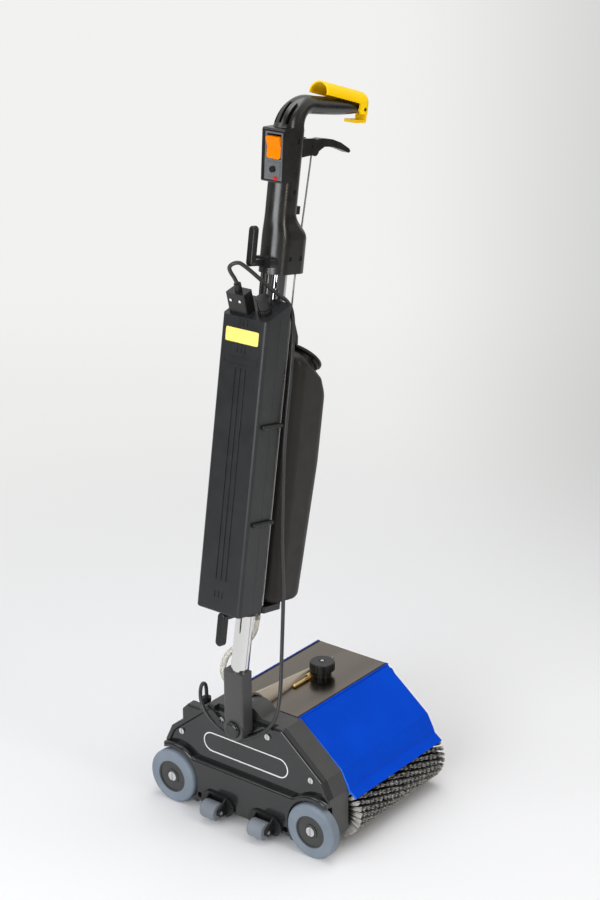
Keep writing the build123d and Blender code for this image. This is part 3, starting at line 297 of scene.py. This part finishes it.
def wear(p, shader, fac, low, high):
    p.feed(shader.inputs["Roughness"], p.ramp(fac, 0.3, 0.7, low, high, "LINEAR"))


def relief(p, shader, fac, depth):
    bump = p.node("ShaderNodeBump")
    p.feed(bump.inputs["Strength"], 1.0)
    p.feed(bump.inputs["Distance"], depth)
    p.feed(bump.inputs["Height"], fac)
    p.feed(shader.inputs["Normal"], bump.outputs["Normal"])


def finish(name, low, high, rough, grain, depth, stretch=(1, 1, 1), metal=0, specular=0.5):
    """A moulded, painted or metal surface: colour and gloss drift over patches, and a fine grain stands up."""
    material, p, shader = new_finish(name)
    p.feed(shader.inputs["Metallic"], metal)
    p.feed(shader.inputs["Specular IOR Level"], specular)
    p.feed(shader.inputs["Base Color"], p.colours(spread(p, PATCHES, 5, stretch), low, high))
    wear(p, shader, spread(p, PATCHES * 2.7, 3, stretch), *rough)
    relief(p, shader, spread(p, grain, 2, stretch), depth)
    return material


def grey(value, warm=0.0):
    return (value * (1 + warm), value, value * (1 - warm))


# Each finish: its name, darker and lighter colour, range of roughness, grains per metre, their height, and the rest
FINISHES = {
    "cover_black": ("gloss_cover_black", grey(0.011, -0.02), grey(0.016, -0.02), (0.10, 0.18), 900, 0.000005,
                    {"specular": 0.6}),
    "housing_black": ("moulded_housing_black", grey(0.040, 0.02), grey(0.050, 0.02), (0.36, 0.46), 1100, 0.00002, {}),
    "frame_black": ("powder_coated_frame", grey(0.014), grey(0.020), (0.45, 0.58), 1500, 0.00003, {"specular": 0.3}),
    "grip_black": ("satin_grip_black", grey(0.0045, 0.15), grey(0.0065, 0.15), (0.25, 0.33), 1300, 0.000004,
                   {"specular": 0.85}),
    "battery_black": ("satin_battery_black", grey(0.017, -0.06), grey(0.022, -0.06), (0.30, 0.40), 1400, 0.00001,
                      {"specular": 0.4}),
    "tank_black": ("grained_tank_black", grey(0.011, 0.2), grey(0.015, 0.2), (0.38, 0.50), 700, 0.00006,
                   {"specular": 0.34}),
    "small_black": ("small_parts_black", grey(0.009), grey(0.013), (0.26, 0.38), 1200, 0.00001, {"specular": 0.42}),
    "cable_black": ("cable_jacket", grey(0.020, 0.03), grey(0.028, 0.03), (0.30, 0.40), 900, 0.00001, {}),
    "chrome": ("chromed_tube", grey(0.66), grey(0.74), (0.05, 0.10), 300, 0.000004,
               {"stretch": (1, 1, 0.05), "metal": 1}),
    "bright_steel": ("bright_screw_steel", grey(0.60), grey(0.70), (0.2, 0.32), 800, 0.00001, {"metal": 1}),
    "rod_steel": ("drawn_rod_steel", grey(0.30), grey(0.40), (0.25, 0.38), 700, 0.00001,
                  {"stretch": (1, 1, 0.06), "metal": 1}),
    "brass": ("turned_brass", (0.62, 0.42, 0.16), (0.74, 0.54, 0.24), (0.16, 0.28), 900, 0.00002, {"metal": 1}),
    "blue": ("blue_painted_sheet", (0.0003, 0.053, 0.51), (0.0005, 0.061, 0.57), (0.34, 0.44), 500, 0.00001,
             {"specular": 0.045}),
    # Painted highlight: the rolled edge is a lighter, glossier blue than the sheet, for the light its rounded hem
    # catches
    "blue_edge_highlight": ("blue_rolled_edge_highlight", (0.004, 0.12, 0.72), (0.006, 0.14, 0.80), (0.22, 0.30), 500, 0.00001,
                  {"specular": 0.4}),
    "tyre_grey": ("grey_rubber_tyre", (0.155, 0.185, 0.225), (0.20, 0.235, 0.28), (0.5, 0.62), 800, 0.00006,
                  {"specular": 0.3}),
    "hub_dark": ("moulded_hub", grey(0.035), grey(0.05), (0.4, 0.52), 1000, 0.00004, {"specular": 0.4}),
    "roller_grey": ("grey_roller", (0.15, 0.17, 0.195), (0.20, 0.22, 0.25), (0.45, 0.58), 800, 0.00005,
                    {"specular": 0.35}),
    "orange": ("orange_key", (0.88, 0.20, 0.0006), (0.94, 0.235, 0.001), (0.32, 0.42), 1200, 0.00001,
               {"specular": 0.06}),
    "yellow": ("yellow_lever_paint", (0.95, 0.57, 0.0005), (0.99, 0.63, 0.0008), (0.28, 0.38), 700, 0.00001,
               {"specular": 0.09}),
    "label_yellow": ("yellow_label_film", (0.87, 0.69, 0.15), (0.91, 0.75, 0.20), (0.35, 0.45), 500, 0.00001,
                     {"specular": 0.3}),
    "red_lens": ("red_lens", (0.55, 0.012, 0.012), (0.68, 0.02, 0.02), (0.12, 0.2), 600, 0.00001, {}),
    "panel_grey": ("switch_panel_grey", grey(0.11, -0.03), grey(0.14, -0.03), (0.36, 0.48), 1300, 0.00001, {}),
    "motor_metal": ("motor_can", grey(0.30), grey(0.38), (0.3, 0.42), 600, 0.00001,
                    {"stretch": (1, 0.05, 1), "metal": 1}),
    "rotor_metal": ("rotor_plates", grey(0.24), grey(0.36), (0.35, 0.5), 900, 0.00003,
                    {"stretch": (0.1, 3, 0.1), "metal": 1}),
    "gear_white": ("cast_gear_nylon", grey(0.62, 0.03), grey(0.70, 0.03), (0.4, 0.5), 900, 0.00003, {}),
    "core_grey": ("brush_core_plastic", grey(0.02), grey(0.03), (0.5, 0.6), 900, 0.00005, {}),
    "cell_wrap": ("cell_sleeve", (0.03, 0.10, 0.16), (0.05, 0.14, 0.22), (0.25, 0.35), 700, 0.00001, {}),
    "badge_line": ("silvered_badge_line", grey(0.66), grey(0.76), (0.3, 0.4), 900, 0.00001, {}),
    "dark_seal": ("dark_rubber_seal", grey(0.008), grey(0.012), (0.5, 0.62), 900, 0.00003, {"specular": 0.2}),
}


def make_finishes():
    made = {key: finish(*row, **rest) for key, (*row, rest) in FINISHES.items()}
    made["stainless"] = plate_finish()
    made["hose"] = clear_hose_finish()
    made["bristle"] = bristle_finish()
    return made


def plate_finish():
    """Dull brushed plate, its raised rib painted a brighter cream as a painted reflection."""
    material, p, shader = new_finish("brushed_plate")
    drift = spread(p, PATCHES, 5, BRUSHED)
    height = p.along(p.place(), (0, 0, 1))
    # Painted reflection: above the rib's foot the colour turns brighter cream and less metallic, for the light the
    # rounded rib reflects
    mix = p.node("ShaderNodeMix", data_type="RGBA")
    p.feed(mix.inputs["Factor"], p.ramp(height, RIB_FOOT, RIB_SIDE, 0.0, 1.0))
    sides = {s.name: s for s in mix.inputs if s.type == "RGBA"}
    p.feed(sides["A"], p.colours(drift, (0.15, 0.132, 0.112), (0.205, 0.18, 0.152)))
    p.feed(sides["B"], p.colours(drift, (0.34, 0.285, 0.215), (0.42, 0.36, 0.28)))
    p.feed(shader.inputs["Base Color"], [s for s in mix.outputs if s.type == "RGBA"][0])
    p.feed(shader.inputs["Metallic"], p.ramp(height, RIB_FOOT, RIB_SIDE, 1.0, 0.45))
    wear(p, shader, spread(p, 49, 3, BRUSHED), 0.2, 0.3)
    relief(p, shader, spread(p, 420, 2, BRUSHED), 0.000006)
    return material


def clear_hose_finish():
    material, p, shader = new_finish("clear_milky_hose")
    p.feed(shader.inputs["Transmission Weight"], 0.8)
    p.feed(shader.inputs["IOR"], 1.4)
    p.feed(shader.inputs["Base Color"], p.colours(spread(p, 60, 4), (0.86, 0.84, 0.76), (0.92, 0.90, 0.84)))
    wear(p, shader, spread(p, 150, 3), 0.10, 0.18)
    relief(p, shader, spread(p, 500, 2), 0.000004)
    return material


def bristle_finish():
    """Grey nylon: dark at the root as painted shade among the tufts, pale at the tip, each strand with its own tone.
    """
    material, p, shader = new_finish("grey_nylon_bristle")
    reach = p.node("ShaderNodeAttribute", attribute_name="reach").outputs["Fac"]
    tone_and_highlight = p.node("ShaderNodeAttribute", attribute_name="tone_and_highlight").outputs["Fac"]
    # Each strand's tone moves it a little along the ramp; the painted highlight of the first ring moves it far
    # towards pale
    own = p.node("ShaderNodeMapRange", clamp=False)
    p.feed(own.inputs["To Min"], -0.12)
    p.feed(own.inputs["To Max"], 0.06)
    p.feed(own.inputs["Value"], tone_and_highlight)
    # Painted shade: near black at the root, lifting to pale grey at the tip
    ramp = p.node("ShaderNodeValToRGB")
    ramp.color_ramp.elements[0].color = (0.006, 0.006, 0.0055, 1)
    ramp.color_ramp.elements[1].color = (0.74, 0.73, 0.69, 1)
    for place, value in ((0.55, 0.03), (0.82, 0.10), (0.93, 0.30)):
        ramp.color_ramp.elements.new(place).color = (value, value * 0.98, value * 0.92, 1)
    p.feed(ramp.inputs["Fac"], p.sum("ADD", reach, own.outputs["Result"]))
    p.feed(shader.inputs["Base Color"], ramp.outputs["Color"])
    p.feed(shader.inputs["Specular IOR Level"], 0.3)
    wear(p, shader, spread(p, 900, 2), 0.38, 0.52)
    return material


NODE_FINISH = {
    "end_housing": "housing_black", "side_cover": "cover_black", "rear_frame": "frame_black",
    "frame_rails": "frame_black", "top_plate": "stainless", "brush_cover_left": "blue", "brush_cover_right": "blue",
    "motor_case": "motor_metal", "brush_bearings": "small_black", "wheel_axles": "bright_steel",
    "caster_brackets": "small_black", "caster_pins": "bright_steel", "cover_screws": "bright_steel",
    "pivot_pin": "cover_black", "strain_relief": "small_black", "regulator_base": "small_black",
    "brass_fitting": "brass", "tyre_left": "tyre_grey", "tyre_right": "tyre_grey", "hub_left": "hub_dark",
    "hub_right": "hub_dark", "caster_roller_left": "roller_grey", "caster_roller_right": "roller_grey",
    "brush_core_left": "core_grey", "brush_core_right": "core_grey", "brush_gear_left": "gear_white",
    "brush_gear_right": "gear_white", "idler_gear_a": "gear_white", "idler_gear_b": "gear_white",
    "motor_rotor": "rotor_metal", "regulator_knob": "small_black", "handle_fork": "housing_black",
    "shaft_tube": "chrome", "battery_front_shell": "battery_black", "battery_rear_shell": "battery_black",
    "battery_cells": "cell_wrap", "battery_clips": "small_black", "battery_connectors": "small_black",
    "water_tank": "tank_black", "tank_strap": "small_black", "tank_valve": "small_black",
    "housing_left": "grip_black", "housing_right": "grip_black", "housing_screws": "small_black",
    "switch_plate": "panel_grey", "indicator_lens": "red_lens", "upper_hook": "small_black",
    "lower_hook": "small_black", "handle_pins": "small_black", "tank_lid": "tank_black", "rocker": "orange",
    "reset_button": "small_black", "deadman_lever": "yellow", "water_trigger": "small_black",
    "pull_rod": "rod_steel",
}


def dress_nodes(finishes):
    for name, chosen in NODE_FINISH.items():
        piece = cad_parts[name]
        piece.data.materials.clear()
        piece.data.materials.append(finishes[chosen])


# Mesh helpers

def put(name, mesh, material, body):
    mesh.name = name
    piece = bpy.data.objects.new(name, mesh)
    bpy.context.collection.objects.link(piece)
    mesh.materials.clear()
    mesh.materials.append(material)
    if body:
        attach(piece, body)
    return piece


def smooth(mesh):
    for face in mesh.polygons:
        face.use_smooth = True


def spline_points(name, route):
    """Points along the smooth line that the route's points control."""
    curve = bpy.data.curves.new(name, "CURVE")
    curve.dimensions = "3D"
    curve.resolution_u = 10
    line = curve.splines.new("NURBS")
    line.points.add(len(route) - 1)
    for point, place in zip(line.points, route):
        point.co = (*place, 1)
    line.order_u = 3
    line.use_endpoint_u = True
    guide = bpy.data.objects.new(name, curve)
    bpy.context.collection.objects.link(guide)
    mesh = bpy.data.meshes.new_from_object(guide.evaluated_get(bpy.context.evaluated_depsgraph_get()))
    points = [v.co.copy() for v in mesh.vertices]
    bpy.data.objects.remove(guide)
    bpy.data.curves.remove(curve)
    bpy.data.meshes.remove(mesh)
    return points


def ring_frames(points):
    frames = []
    side = None
    for i, p in enumerate(points):
        ahead = (points[min(i + 1, len(points) - 1)] - points[max(i - 1, 0)]).normalized()
        if side is None:
            side = ahead.orthogonal().normalized()
        side = (side - ahead * side.dot(ahead)).normalized()
        frames.append((p, side, ahead.cross(side)))
    return frames


def tube_mesh(points, radius, bore=0.0, around=14):
    """A round tube along the points, with closed ends, hollow where it has a bore."""
    form = bmesh.new()
    frames = ring_frames(points)

    def skin(r):
        rings = []
        for p, a, b in frames:
            ring = []
            for k in range(around):
                t = 2 * math.pi * k / around
                ring.append(form.verts.new(p + r * (math.cos(t) * a + math.sin(t) * b)))
            rings.append(ring)
        for one, two in zip(rings, rings[1:]):
            for k in range(around):
                j = (k + 1) % around
                form.faces.new((one[k], one[j], two[j], two[k]))
        return rings

    outer = skin(radius)
    if bore:
        inner = skin(bore)
        for end in (0, -1):
            for k in range(around):
                j = (k + 1) % around
                form.faces.new((outer[end][k], outer[end][j], inner[end][j], inner[end][k]))
    else:
        form.faces.new(outer[0])
        form.faces.new(outer[-1])
    bmesh.ops.recalc_face_normals(form, faces=form.faces)
    mesh = bpy.data.meshes.new("tube")
    form.to_mesh(mesh)
    form.free()
    smooth(mesh)
    return mesh


# Cords: the points that steer each run, on the handle and on the base

CABLE_RADIUS = 0.003
CABLE_ON_HANDLE = (
    (-0.017, -0.068442, 0.688545), (-0.017, -0.073256, 0.699537), (-0.0195, -0.0915, 0.7175),
    (-0.015, -0.0945, 0.725), (-0.007, -0.092, 0.730), (-0.0005, -0.0855, 0.7295), (0.020, -0.029, 0.687),
    (0.0305, -0.009, 0.675), (0.035, 0.0, 0.655), (0.038, 0.001, 0.620), (0.044, -0.004, 0.572),
    (0.048, -0.009, 0.515), (0.0475, -0.008, 0.478))
CABLE_TO_BASE = (
    (0.048, 0.061, 0.615), (0.048, 0.059, 0.576), (0.048, 0.057, 0.535), (0.048, 0.055, 0.493),
    (0.049, 0.054, 0.451), (0.052, 0.052, 0.419), (0.054, 0.049, 0.388), (0.056, 0.044, 0.348),
    (0.060, 0.036, 0.306), (0.066, 0.026, 0.265), (0.070, 0.016, 0.234), (0.068, 0.009, 0.212),
    (0.058, 0.008, 0.196), (0.043, 0.008, 0.1815), (0.022, 0.008, 0.1665), (0.002, 0.008, 0.156),
    (-0.018, 0.008, 0.1525), (-0.036, 0.008, 0.156), (-0.055, 0.008, 0.165), (-0.070, 0.008, 0.177),
    (-0.081, 0.009, 0.192), (-0.089, 0.016, 0.207), (-0.095, 0.028, 0.215), (-0.098, 0.040, 0.209),
    (-0.098, 0.042, 0.194), (-0.098, 0.042, 0.168))
HOSE_RADIUS = 0.005
HOSE_BORE = 0.0032
HOSE_ON_HANDLE = (
    (-0.005, 0.038, 0.178), (-0.005, 0.038, 0.160), (-0.008, 0.036, 0.143), (-0.017, 0.029, 0.128),
    (-0.029, 0.020, 0.119), (-0.038, 0.012, 0.106))
HOSE_TO_BASE = (
    (-0.041, 0.014, 0.260), (-0.039, 0.022, 0.238), (-0.035, 0.036, 0.224), (-0.034, 0.044, 0.212),
    (-0.034, 0.044, 0.198))
# Across and behind; the battery's top slopes, so the leads start at different heights
LEAD_PLACES = ((-0.009, -0.024), (0, -0.027), (0.009, -0.024))
LEAD_FOOT, LEAD_SLOPE, LEAD_TOP = 0.6657, 0.33, 0.719


def string_cords(finishes):
    route = [handle_point(*p) for p in CABLE_ON_HANDLE] + [base_point(*p) for p in CABLE_TO_BASE]
    points = spline_points("motor_cable_line", route)
    cable = put("motor_cable_run", tube_mesh(points, CABLE_RADIUS), finishes["cable_black"], None)
    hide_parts("motor_cable")
    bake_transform(cable)

    route = [handle_point(*p) for p in HOSE_ON_HANDLE] + [base_point(*p) for p in HOSE_TO_BASE]
    points = spline_points("water_hose_line", route)
    hose = put("water_hose_run", tube_mesh(points, HOSE_RADIUS, HOSE_BORE), finishes["hose"], None)
    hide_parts("clear_hose")
    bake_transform(hose)

    for i, (x, v) in enumerate(LEAD_PLACES):
        low = LEAD_FOOT - LEAD_SLOPE * (v + 0.027)
        route = [handle_point(x, v, low), handle_point(x * 1.05, v - 0.0006, 0.682),
                 handle_point(x * 1.08, v - 0.0008, 0.700), handle_point(x, v, LEAD_TOP)]
        points = spline_points("battery_lead_line", route)
        lead = put("battery_lead_%d" % (i + 1), tube_mesh(points, CABLE_RADIUS), finishes["cable_black"], "handle")
        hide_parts("handle_cables")


# Small fitted details

BADGE_OUTER, BADGE_INNER, BADGE_RISE = (0.170, 0.034), (0.1662, 0.0302), 0.0011
BADGE_FACE, BADGE_Z = 0.0183, 0.124
BATTERY_FACE = -0.069
LABEL_SIZE, LABEL_CORNER, LABEL_RISE = (0.061, 0.0208), 0.0025, 0.0005
LABEL_X, LABEL_W = -0.0015, 0.6215
OUTLINE_OUTER, OUTLINE_INNER, OUTLINE_RISE = (0.063, 0.011), (0.0612, 0.0092), 0.0005
OUTLINE_W = 0.5845
PLUG_TILT = math.radians(23.65)
PLUG_X, PLUG_V, PLUG_W = -0.017, -0.054, 0.65557
PLUG_FACE = -0.0113
DOT_X, DOT_Z, DOT_RADIUS, DOT_RISE = 0.0085, 0.022, 0.0021, 0.0003
STRIP_X, STRIP_Z, STRIP_RISE = 0.0683, 0.1917, 0.0009
STRIP_WIDTH, STRIP_LENGTH, STRIP_CORNER = 0.0026, 0.232, 0.0004
COVER_NEAR, COVER_MIDDLE, COVER_FAR = 0.0652, 0.181, 0.2968
FOLD_X, FOLD_Z, FOLD_RADIUS = 0.0708, 0.1912, 0.0017
# Across and up, down the near edge of a blue cover
EDGE_LINE = ((0.0700, 0.1912), (0.151, 0.127), (0.163, 0.105), (0.166, 0.097), (0.1796, 0.0872))
EDGE_Y, EDGE_SINK, EDGE_RADIUS = 0.0656, 0.0004, 0.0016
KNOB_X, KNOB_Y, KNOB_TOP = 0.010, 0.202, 0.2152
SCREW_RADIUS, SCREW_RISE = 0.0030, 0.0022


def stadium(width, height, count=14):
    r = height / 2
    points = []
    for side, start in ((1, -math.pi / 2), (-1, math.pi / 2)):
        for k in range(count + 1):
            a = start + math.pi * k / count
            points.append((side * (width / 2 - r) + r * math.cos(a), r * math.sin(a)))
    return points


def rounded(width, height, r, count=5):
    points = []
    for i, (sx, sy) in enumerate(((1, -1), (1, 1), (-1, 1), (-1, -1))):
        for k in range(count + 1):
            a = math.pi / 2 * (i - 1 + k / count)
            points.append((sx * (width / 2 - r) + r * math.cos(a), sy * (height / 2 - r) + r * math.sin(a)))
    return points


def disc(radius, count=28):
    turns = [2 * math.pi * k / count for k in range(count)]
    return [(radius * math.cos(a), radius * math.sin(a)) for a in turns]


def slab(outline, at, rise, hole=None, ease=0.0):
    """A flat piece raised from its seat, with an eased upper edge and, if asked, an opening of as many corners."""
    form = bmesh.new()

    def ring(points, height):
        return [form.verts.new(at(a, b, height)) for a, b in points]

    def inset(points, amount):
        cx = sum(a for a, _ in points) / len(points)
        cy = sum(b for _, b in points) / len(points)
        moved = []
        for a, b in points:
            away = math.hypot(a - cx, b - cy)
            moved.append((a - (a - cx) / away * amount, b - (b - cy) / away * amount))
        return moved

    def wall(one, two):
        for k in range(len(one)):
            j = (k + 1) % len(one)
            form.faces.new((one[k], one[j], two[j], two[k]))

    rings = [ring(outline, 0), ring(outline, rise - ease)]
    if ease:
        rings.append(ring(inset(outline, ease), rise))
    for one, two in zip(rings, rings[1:]):
        wall(one, two)
    if hole:
        low, high = ring(hole, 0), ring(hole, rise)
        wall(high, low)
        wall(rings[-1], high)
        wall(low, rings[0])
    else:
        form.faces.new(rings[-1])
        form.faces.new(list(reversed(rings[0])))
    bmesh.ops.recalc_face_normals(form, faces=form.faces)
    mesh = bpy.data.meshes.new("slab")
    form.to_mesh(mesh)
    form.free()
    return mesh


def on_side_cover(a, b, height):
    return base_point(a, BADGE_FACE - height, BADGE_Z + b)


def on_battery(a, b, height):
    return handle_point(a, BATTERY_FACE - height, b)


def plug_point(x, y, z):
    """A point of the tilted battery plug, from the middle of its foot."""
    v = PLUG_V + y * math.cos(PLUG_TILT) - z * math.sin(PLUG_TILT)
    w = PLUG_W + y * math.sin(PLUG_TILT) + z * math.cos(PLUG_TILT)
    return handle_point(PLUG_X + x, v, w)


def fit_details(finishes):
    badge = slab(stadium(*BADGE_OUTER), on_side_cover, BADGE_RISE, stadium(*BADGE_INNER), 0.0002)
    put("badge_line", badge, finishes["badge_line"], "chassis")
    label = slab(rounded(*LABEL_SIZE, LABEL_CORNER), lambda a, b, h: on_battery(a + LABEL_X, b + LABEL_W, h),
                 LABEL_RISE, None, 0.0001)
    put("blank_label", label, finishes["label_yellow"], "handle")
    outline = slab(stadium(*OUTLINE_OUTER), lambda a, b, h: on_battery(a, b + OUTLINE_W, h), OUTLINE_RISE,
                   stadium(*OUTLINE_INNER))
    put("battery_badge_line", outline, finishes["battery_black"], "handle")
    for i, x in enumerate((-DOT_X, DOT_X)):
        dot = slab(disc(DOT_RADIUS), lambda a, b, h: plug_point(x + a, PLUG_FACE - h, DOT_Z + b), DOT_RISE)
        put("plug_dot_%d" % (i + 1), dot, finishes["badge_line"], "handle")
    for side, name in ((-1, "left"), (1, "right")):
        strip = slab(rounded(STRIP_WIDTH, STRIP_LENGTH, STRIP_CORNER),
                     lambda a, b, h: base_point(side * STRIP_X + a, COVER_MIDDLE + b, STRIP_Z + h), STRIP_RISE)
        put("seal_strip_" + name, strip, finishes["dark_seal"], "chassis")
        fold = [base_point(side * FOLD_X, y, FOLD_Z) for y in (COVER_NEAR, COVER_MIDDLE, COVER_FAR)]
        put("blue_fold_" + name, tube_mesh(fold, FOLD_RADIUS, 0.0, 12), finishes["blue"], "chassis")
        edge = [base_point(side * x, EDGE_Y, z - EDGE_SINK) for x, z in EDGE_LINE]
        put("rolled_edge_" + name, tube_mesh(edge, EDGE_RADIUS, 0.0, 10), finishes["blue_edge_highlight"], "chassis")
    screw = slab(disc(SCREW_RADIUS), lambda a, b, h: base_point(KNOB_X + a, KNOB_Y + b, KNOB_TOP + h), SCREW_RISE,
                 None, 0.0006)
    put("knob_screw", screw, finishes["bright_steel"], "regulator")


# Repeats made with node trees

BRUSH_X = 0.1305
BRUSH_Z = 0.052
BRISTLE_ROOT, BRISTLE_TIP = 0.0195, 0.0516
BRISTLE_START, BRISTLE_PITCH = 0.0765, 0.01072
ROW_TWIST = 0.066
STRAND_TOP, STRAND_FOOT = 0.00048, 0.00052
STRAND_SWING, STRAND_SLIP, STRAND_SHORTEST = 0.044, 0.0014, 0.95


def grown_mesh(name, tree, values):
    """Evaluate a node tree on an empty mesh and hand back the plain mesh."""
    seed = bpy.data.objects.new(name + "_seed", bpy.data.meshes.new(name + "_seed"))
    bpy.context.collection.objects.link(seed)
    grow = seed.modifiers.new("grow", "NODES")
    grow.node_group = tree
    for entry in tree.interface.items_tree:
        if entry.in_out == "INPUT" and entry.name in values:
            grow[entry.identifier] = values[entry.name]
    graph = bpy.context.evaluated_depsgraph_get()
    mesh = bpy.data.meshes.new_from_object(seed.evaluated_get(graph))
    bpy.data.objects.remove(seed)
    return mesh


def bristle_tree(material):
    """Tufts in helical rows round a roller, each tuft a bundle of tapered strands."""
    tree = bpy.data.node_groups.new("bristle_rows", "GeometryNodeTree")
    tree.is_modifier = True
    for name, kind, value in (
            ("Rows", "NodeSocketInt", 20), ("Along", "NodeSocketInt", 25), ("Strands", "NodeSocketInt", 15),
            ("Twist", "NodeSocketFloat", 0.04), ("Axis X", "NodeSocketFloat", 0.0),
            ("Axis Z", "NodeSocketFloat", 0.0), ("First Y", "NodeSocketFloat", 0.0),
            ("Pitch", "NodeSocketFloat", 0.009), ("Root Radius", "NodeSocketFloat", 0.02),
            ("Tip Radius", "NodeSocketFloat", 0.052), ("Seed", "NodeSocketInt", 4)):
        tree.interface.new_socket(name, in_out="INPUT", socket_type=kind).default_value = value
    tree.interface.new_socket("Geometry", in_out="OUTPUT", socket_type="NodeSocketGeometry")
    p = Patch(tree)
    given = p.node("NodeGroupInput").outputs

    # Which tuft, row and ring a strand belongs to
    tufts = p.sum("MULTIPLY", given["Rows"], given["Along"])
    total = p.sum("MULTIPLY", tufts, given["Strands"])
    cloud = p.node("GeometryNodePoints")
    p.feed(cloud.inputs["Count"], total)
    index = p.node("GeometryNodeInputIndex").outputs[0]
    tuft = p.sum("FLOOR", p.sum("DIVIDE", p.sum("ADD", index, 0.5), given["Strands"]))
    row = p.sum("MODULO", tuft, given["Rows"])
    ring = p.sum("FLOOR", p.sum("DIVIDE", p.sum("ADD", tuft, 0.5), given["Rows"]))

    # Where it stands, how it leans and its own tone; the ring nearest the wheels is paler, a painted highlight
    angle = p.sum("ADD", p.sum("DIVIDE", p.sum("MULTIPLY", row, 2 * math.pi), given["Rows"]),
                  p.sum("MULTIPLY", ring, given["Twist"]))
    swing = p.between(-STRAND_SWING, STRAND_SWING, given["Seed"])
    slip = p.between(-STRAND_SLIP, STRAND_SLIP, p.sum("ADD", given["Seed"], 1))
    reach = p.between(STRAND_SHORTEST, 1.0, p.sum("ADD", given["Seed"], 2))
    # Painted highlight: the first ring's strands are lifted towards pale, for the light falling on their sides
    first_ring_highlight = p.sum("MULTIPLY", p.sum("LESS_THAN", ring, 0.5), 2.2)
    tone_and_highlight = p.sum("ADD", p.between(0.0, 1.0, p.sum("ADD", given["Seed"], 3)), first_ring_highlight)
    turn = p.sum("ADD", angle, swing)
    across, up = p.sum("COSINE", turn), p.sum("SINE", turn)
    y = p.sum("ADD", given["First Y"], p.sum("ADD", p.sum("MULTIPLY", ring, given["Pitch"]), slip))
    root = p.vector(p.sum("ADD", given["Axis X"], p.sum("MULTIPLY", across, given["Root Radius"])), y,
                    p.sum("ADD", given["Axis Z"], p.sum("MULTIPLY", up, given["Root Radius"])))
    lean_y = p.sum("ADD", p.sum("MULTIPLY", slip, 44.0),
                   p.between(-0.02, 0.02, p.sum("ADD", given["Seed"], 5)))
    lean = p.sum("MULTIPLY", swing, 0.7)
    out_x = p.sum("SUBTRACT", across, p.sum("MULTIPLY", lean, up))
    out_z = p.sum("ADD", up, p.sum("MULTIPLY", lean, across))
    outward = p.vector(out_x, lean_y, out_z)
    placed = p.node("GeometryNodeSetPosition")
    p.feed(placed.inputs["Geometry"], cloud.outputs[0])
    p.feed(placed.inputs["Position"], root)
    length = p.sum("MULTIPLY", p.sum("SUBTRACT", given["Tip Radius"], given["Root Radius"]), reach)
    kept = p.node("GeometryNodeStoreNamedAttribute", data_type="FLOAT", domain="POINT")
    p.feed(kept.inputs["Geometry"], placed.outputs[0])
    p.feed(kept.inputs["Name"], "tone_and_highlight")
    p.feed([s for s in kept.inputs if s.name == "Value" and s.enabled][0], tone_and_highlight)

    # One tapered strand, planted at each point
    strand = p.node("GeometryNodeMeshCone", fill_type="NGON")
    p.feed(strand.inputs["Vertices"], 3)
    p.feed(strand.inputs["Radius Top"], STRAND_TOP)
    p.feed(strand.inputs["Radius Bottom"], STRAND_FOOT)
    p.feed(strand.inputs["Depth"], 1.0)
    facing = p.node("FunctionNodeAlignRotationToVector", axis="Z")
    p.feed(facing.inputs["Vector"], outward)
    spread_out = p.node("GeometryNodeInstanceOnPoints")
    p.feed(spread_out.inputs["Points"], kept.outputs[0])
    p.feed(spread_out.inputs["Instance"], strand.outputs["Mesh"])
    p.feed(spread_out.inputs["Rotation"], facing.outputs[0])
    p.feed(spread_out.inputs["Scale"], p.vector(1.0, 1.0, length))
    whole = p.node("GeometryNodeRealizeInstances")
    p.feed(whole.inputs[0], spread_out.outputs[0])

    # How far out each point lies, for the colour from root to tip and its painted shade at the root
    apart = p.node("ShaderNodeSeparateXYZ")
    p.feed(apart.inputs[0], p.node("GeometryNodeInputPosition").outputs[0])
    off = p.vector(p.sum("SUBTRACT", apart.outputs[0], given["Axis X"]), 0.0,
                   p.sum("SUBTRACT", apart.outputs[2], given["Axis Z"]))
    part_way = p.sum("DIVIDE", p.sum("SUBTRACT", p.length(off), given["Root Radius"]),
                     p.sum("SUBTRACT", given["Tip Radius"], given["Root Radius"]))
    measured = p.node("GeometryNodeStoreNamedAttribute", data_type="FLOAT", domain="POINT")
    p.feed(measured.inputs["Geometry"], whole.outputs[0])
    p.feed(measured.inputs["Name"], "reach")
    p.feed([s for s in measured.inputs if s.name == "Value" and s.enabled][0], part_way)
    coat = p.node("GeometryNodeSetMaterial")
    p.feed(coat.inputs["Geometry"], measured.outputs[0])
    coat.inputs["Material"].default_value = material
    p.feed(p.node("NodeGroupOutput").inputs[0], coat.outputs[0])
    return tree


def plant_bristles(finishes):
    tree = bristle_tree(finishes["bristle"])
    for side, way, seed in (("left", -1, 11), ("right", 1, 37)):
        values = {"Axis X": way * BRUSH_X, "Axis Z": BRUSH_Z, "First Y": FRONT + BRISTLE_START,
                  "Pitch": BRISTLE_PITCH, "Along": 22, "Rows": 29, "Strands": 26, "Twist": -way * ROW_TWIST,
                  "Root Radius": BRISTLE_ROOT, "Tip Radius": BRISTLE_TIP, "Seed": seed}
        bristles = put("bristle_rows_" + side, grown_mesh("bristles_" + side, tree, values), finishes["bristle"],
                       "brush_" + side)
        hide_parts("brush_bristles_" + side)


stand_camera()
light_studio()
lay_floor()
finishes = make_finishes()
dress_nodes(finishes)
string_cords(finishes)
fit_details(finishes)
plant_bristles(finishes)

bpy.context.scene.view_settings.view_transform = "Standard"
bpy.context.view_layer.update()
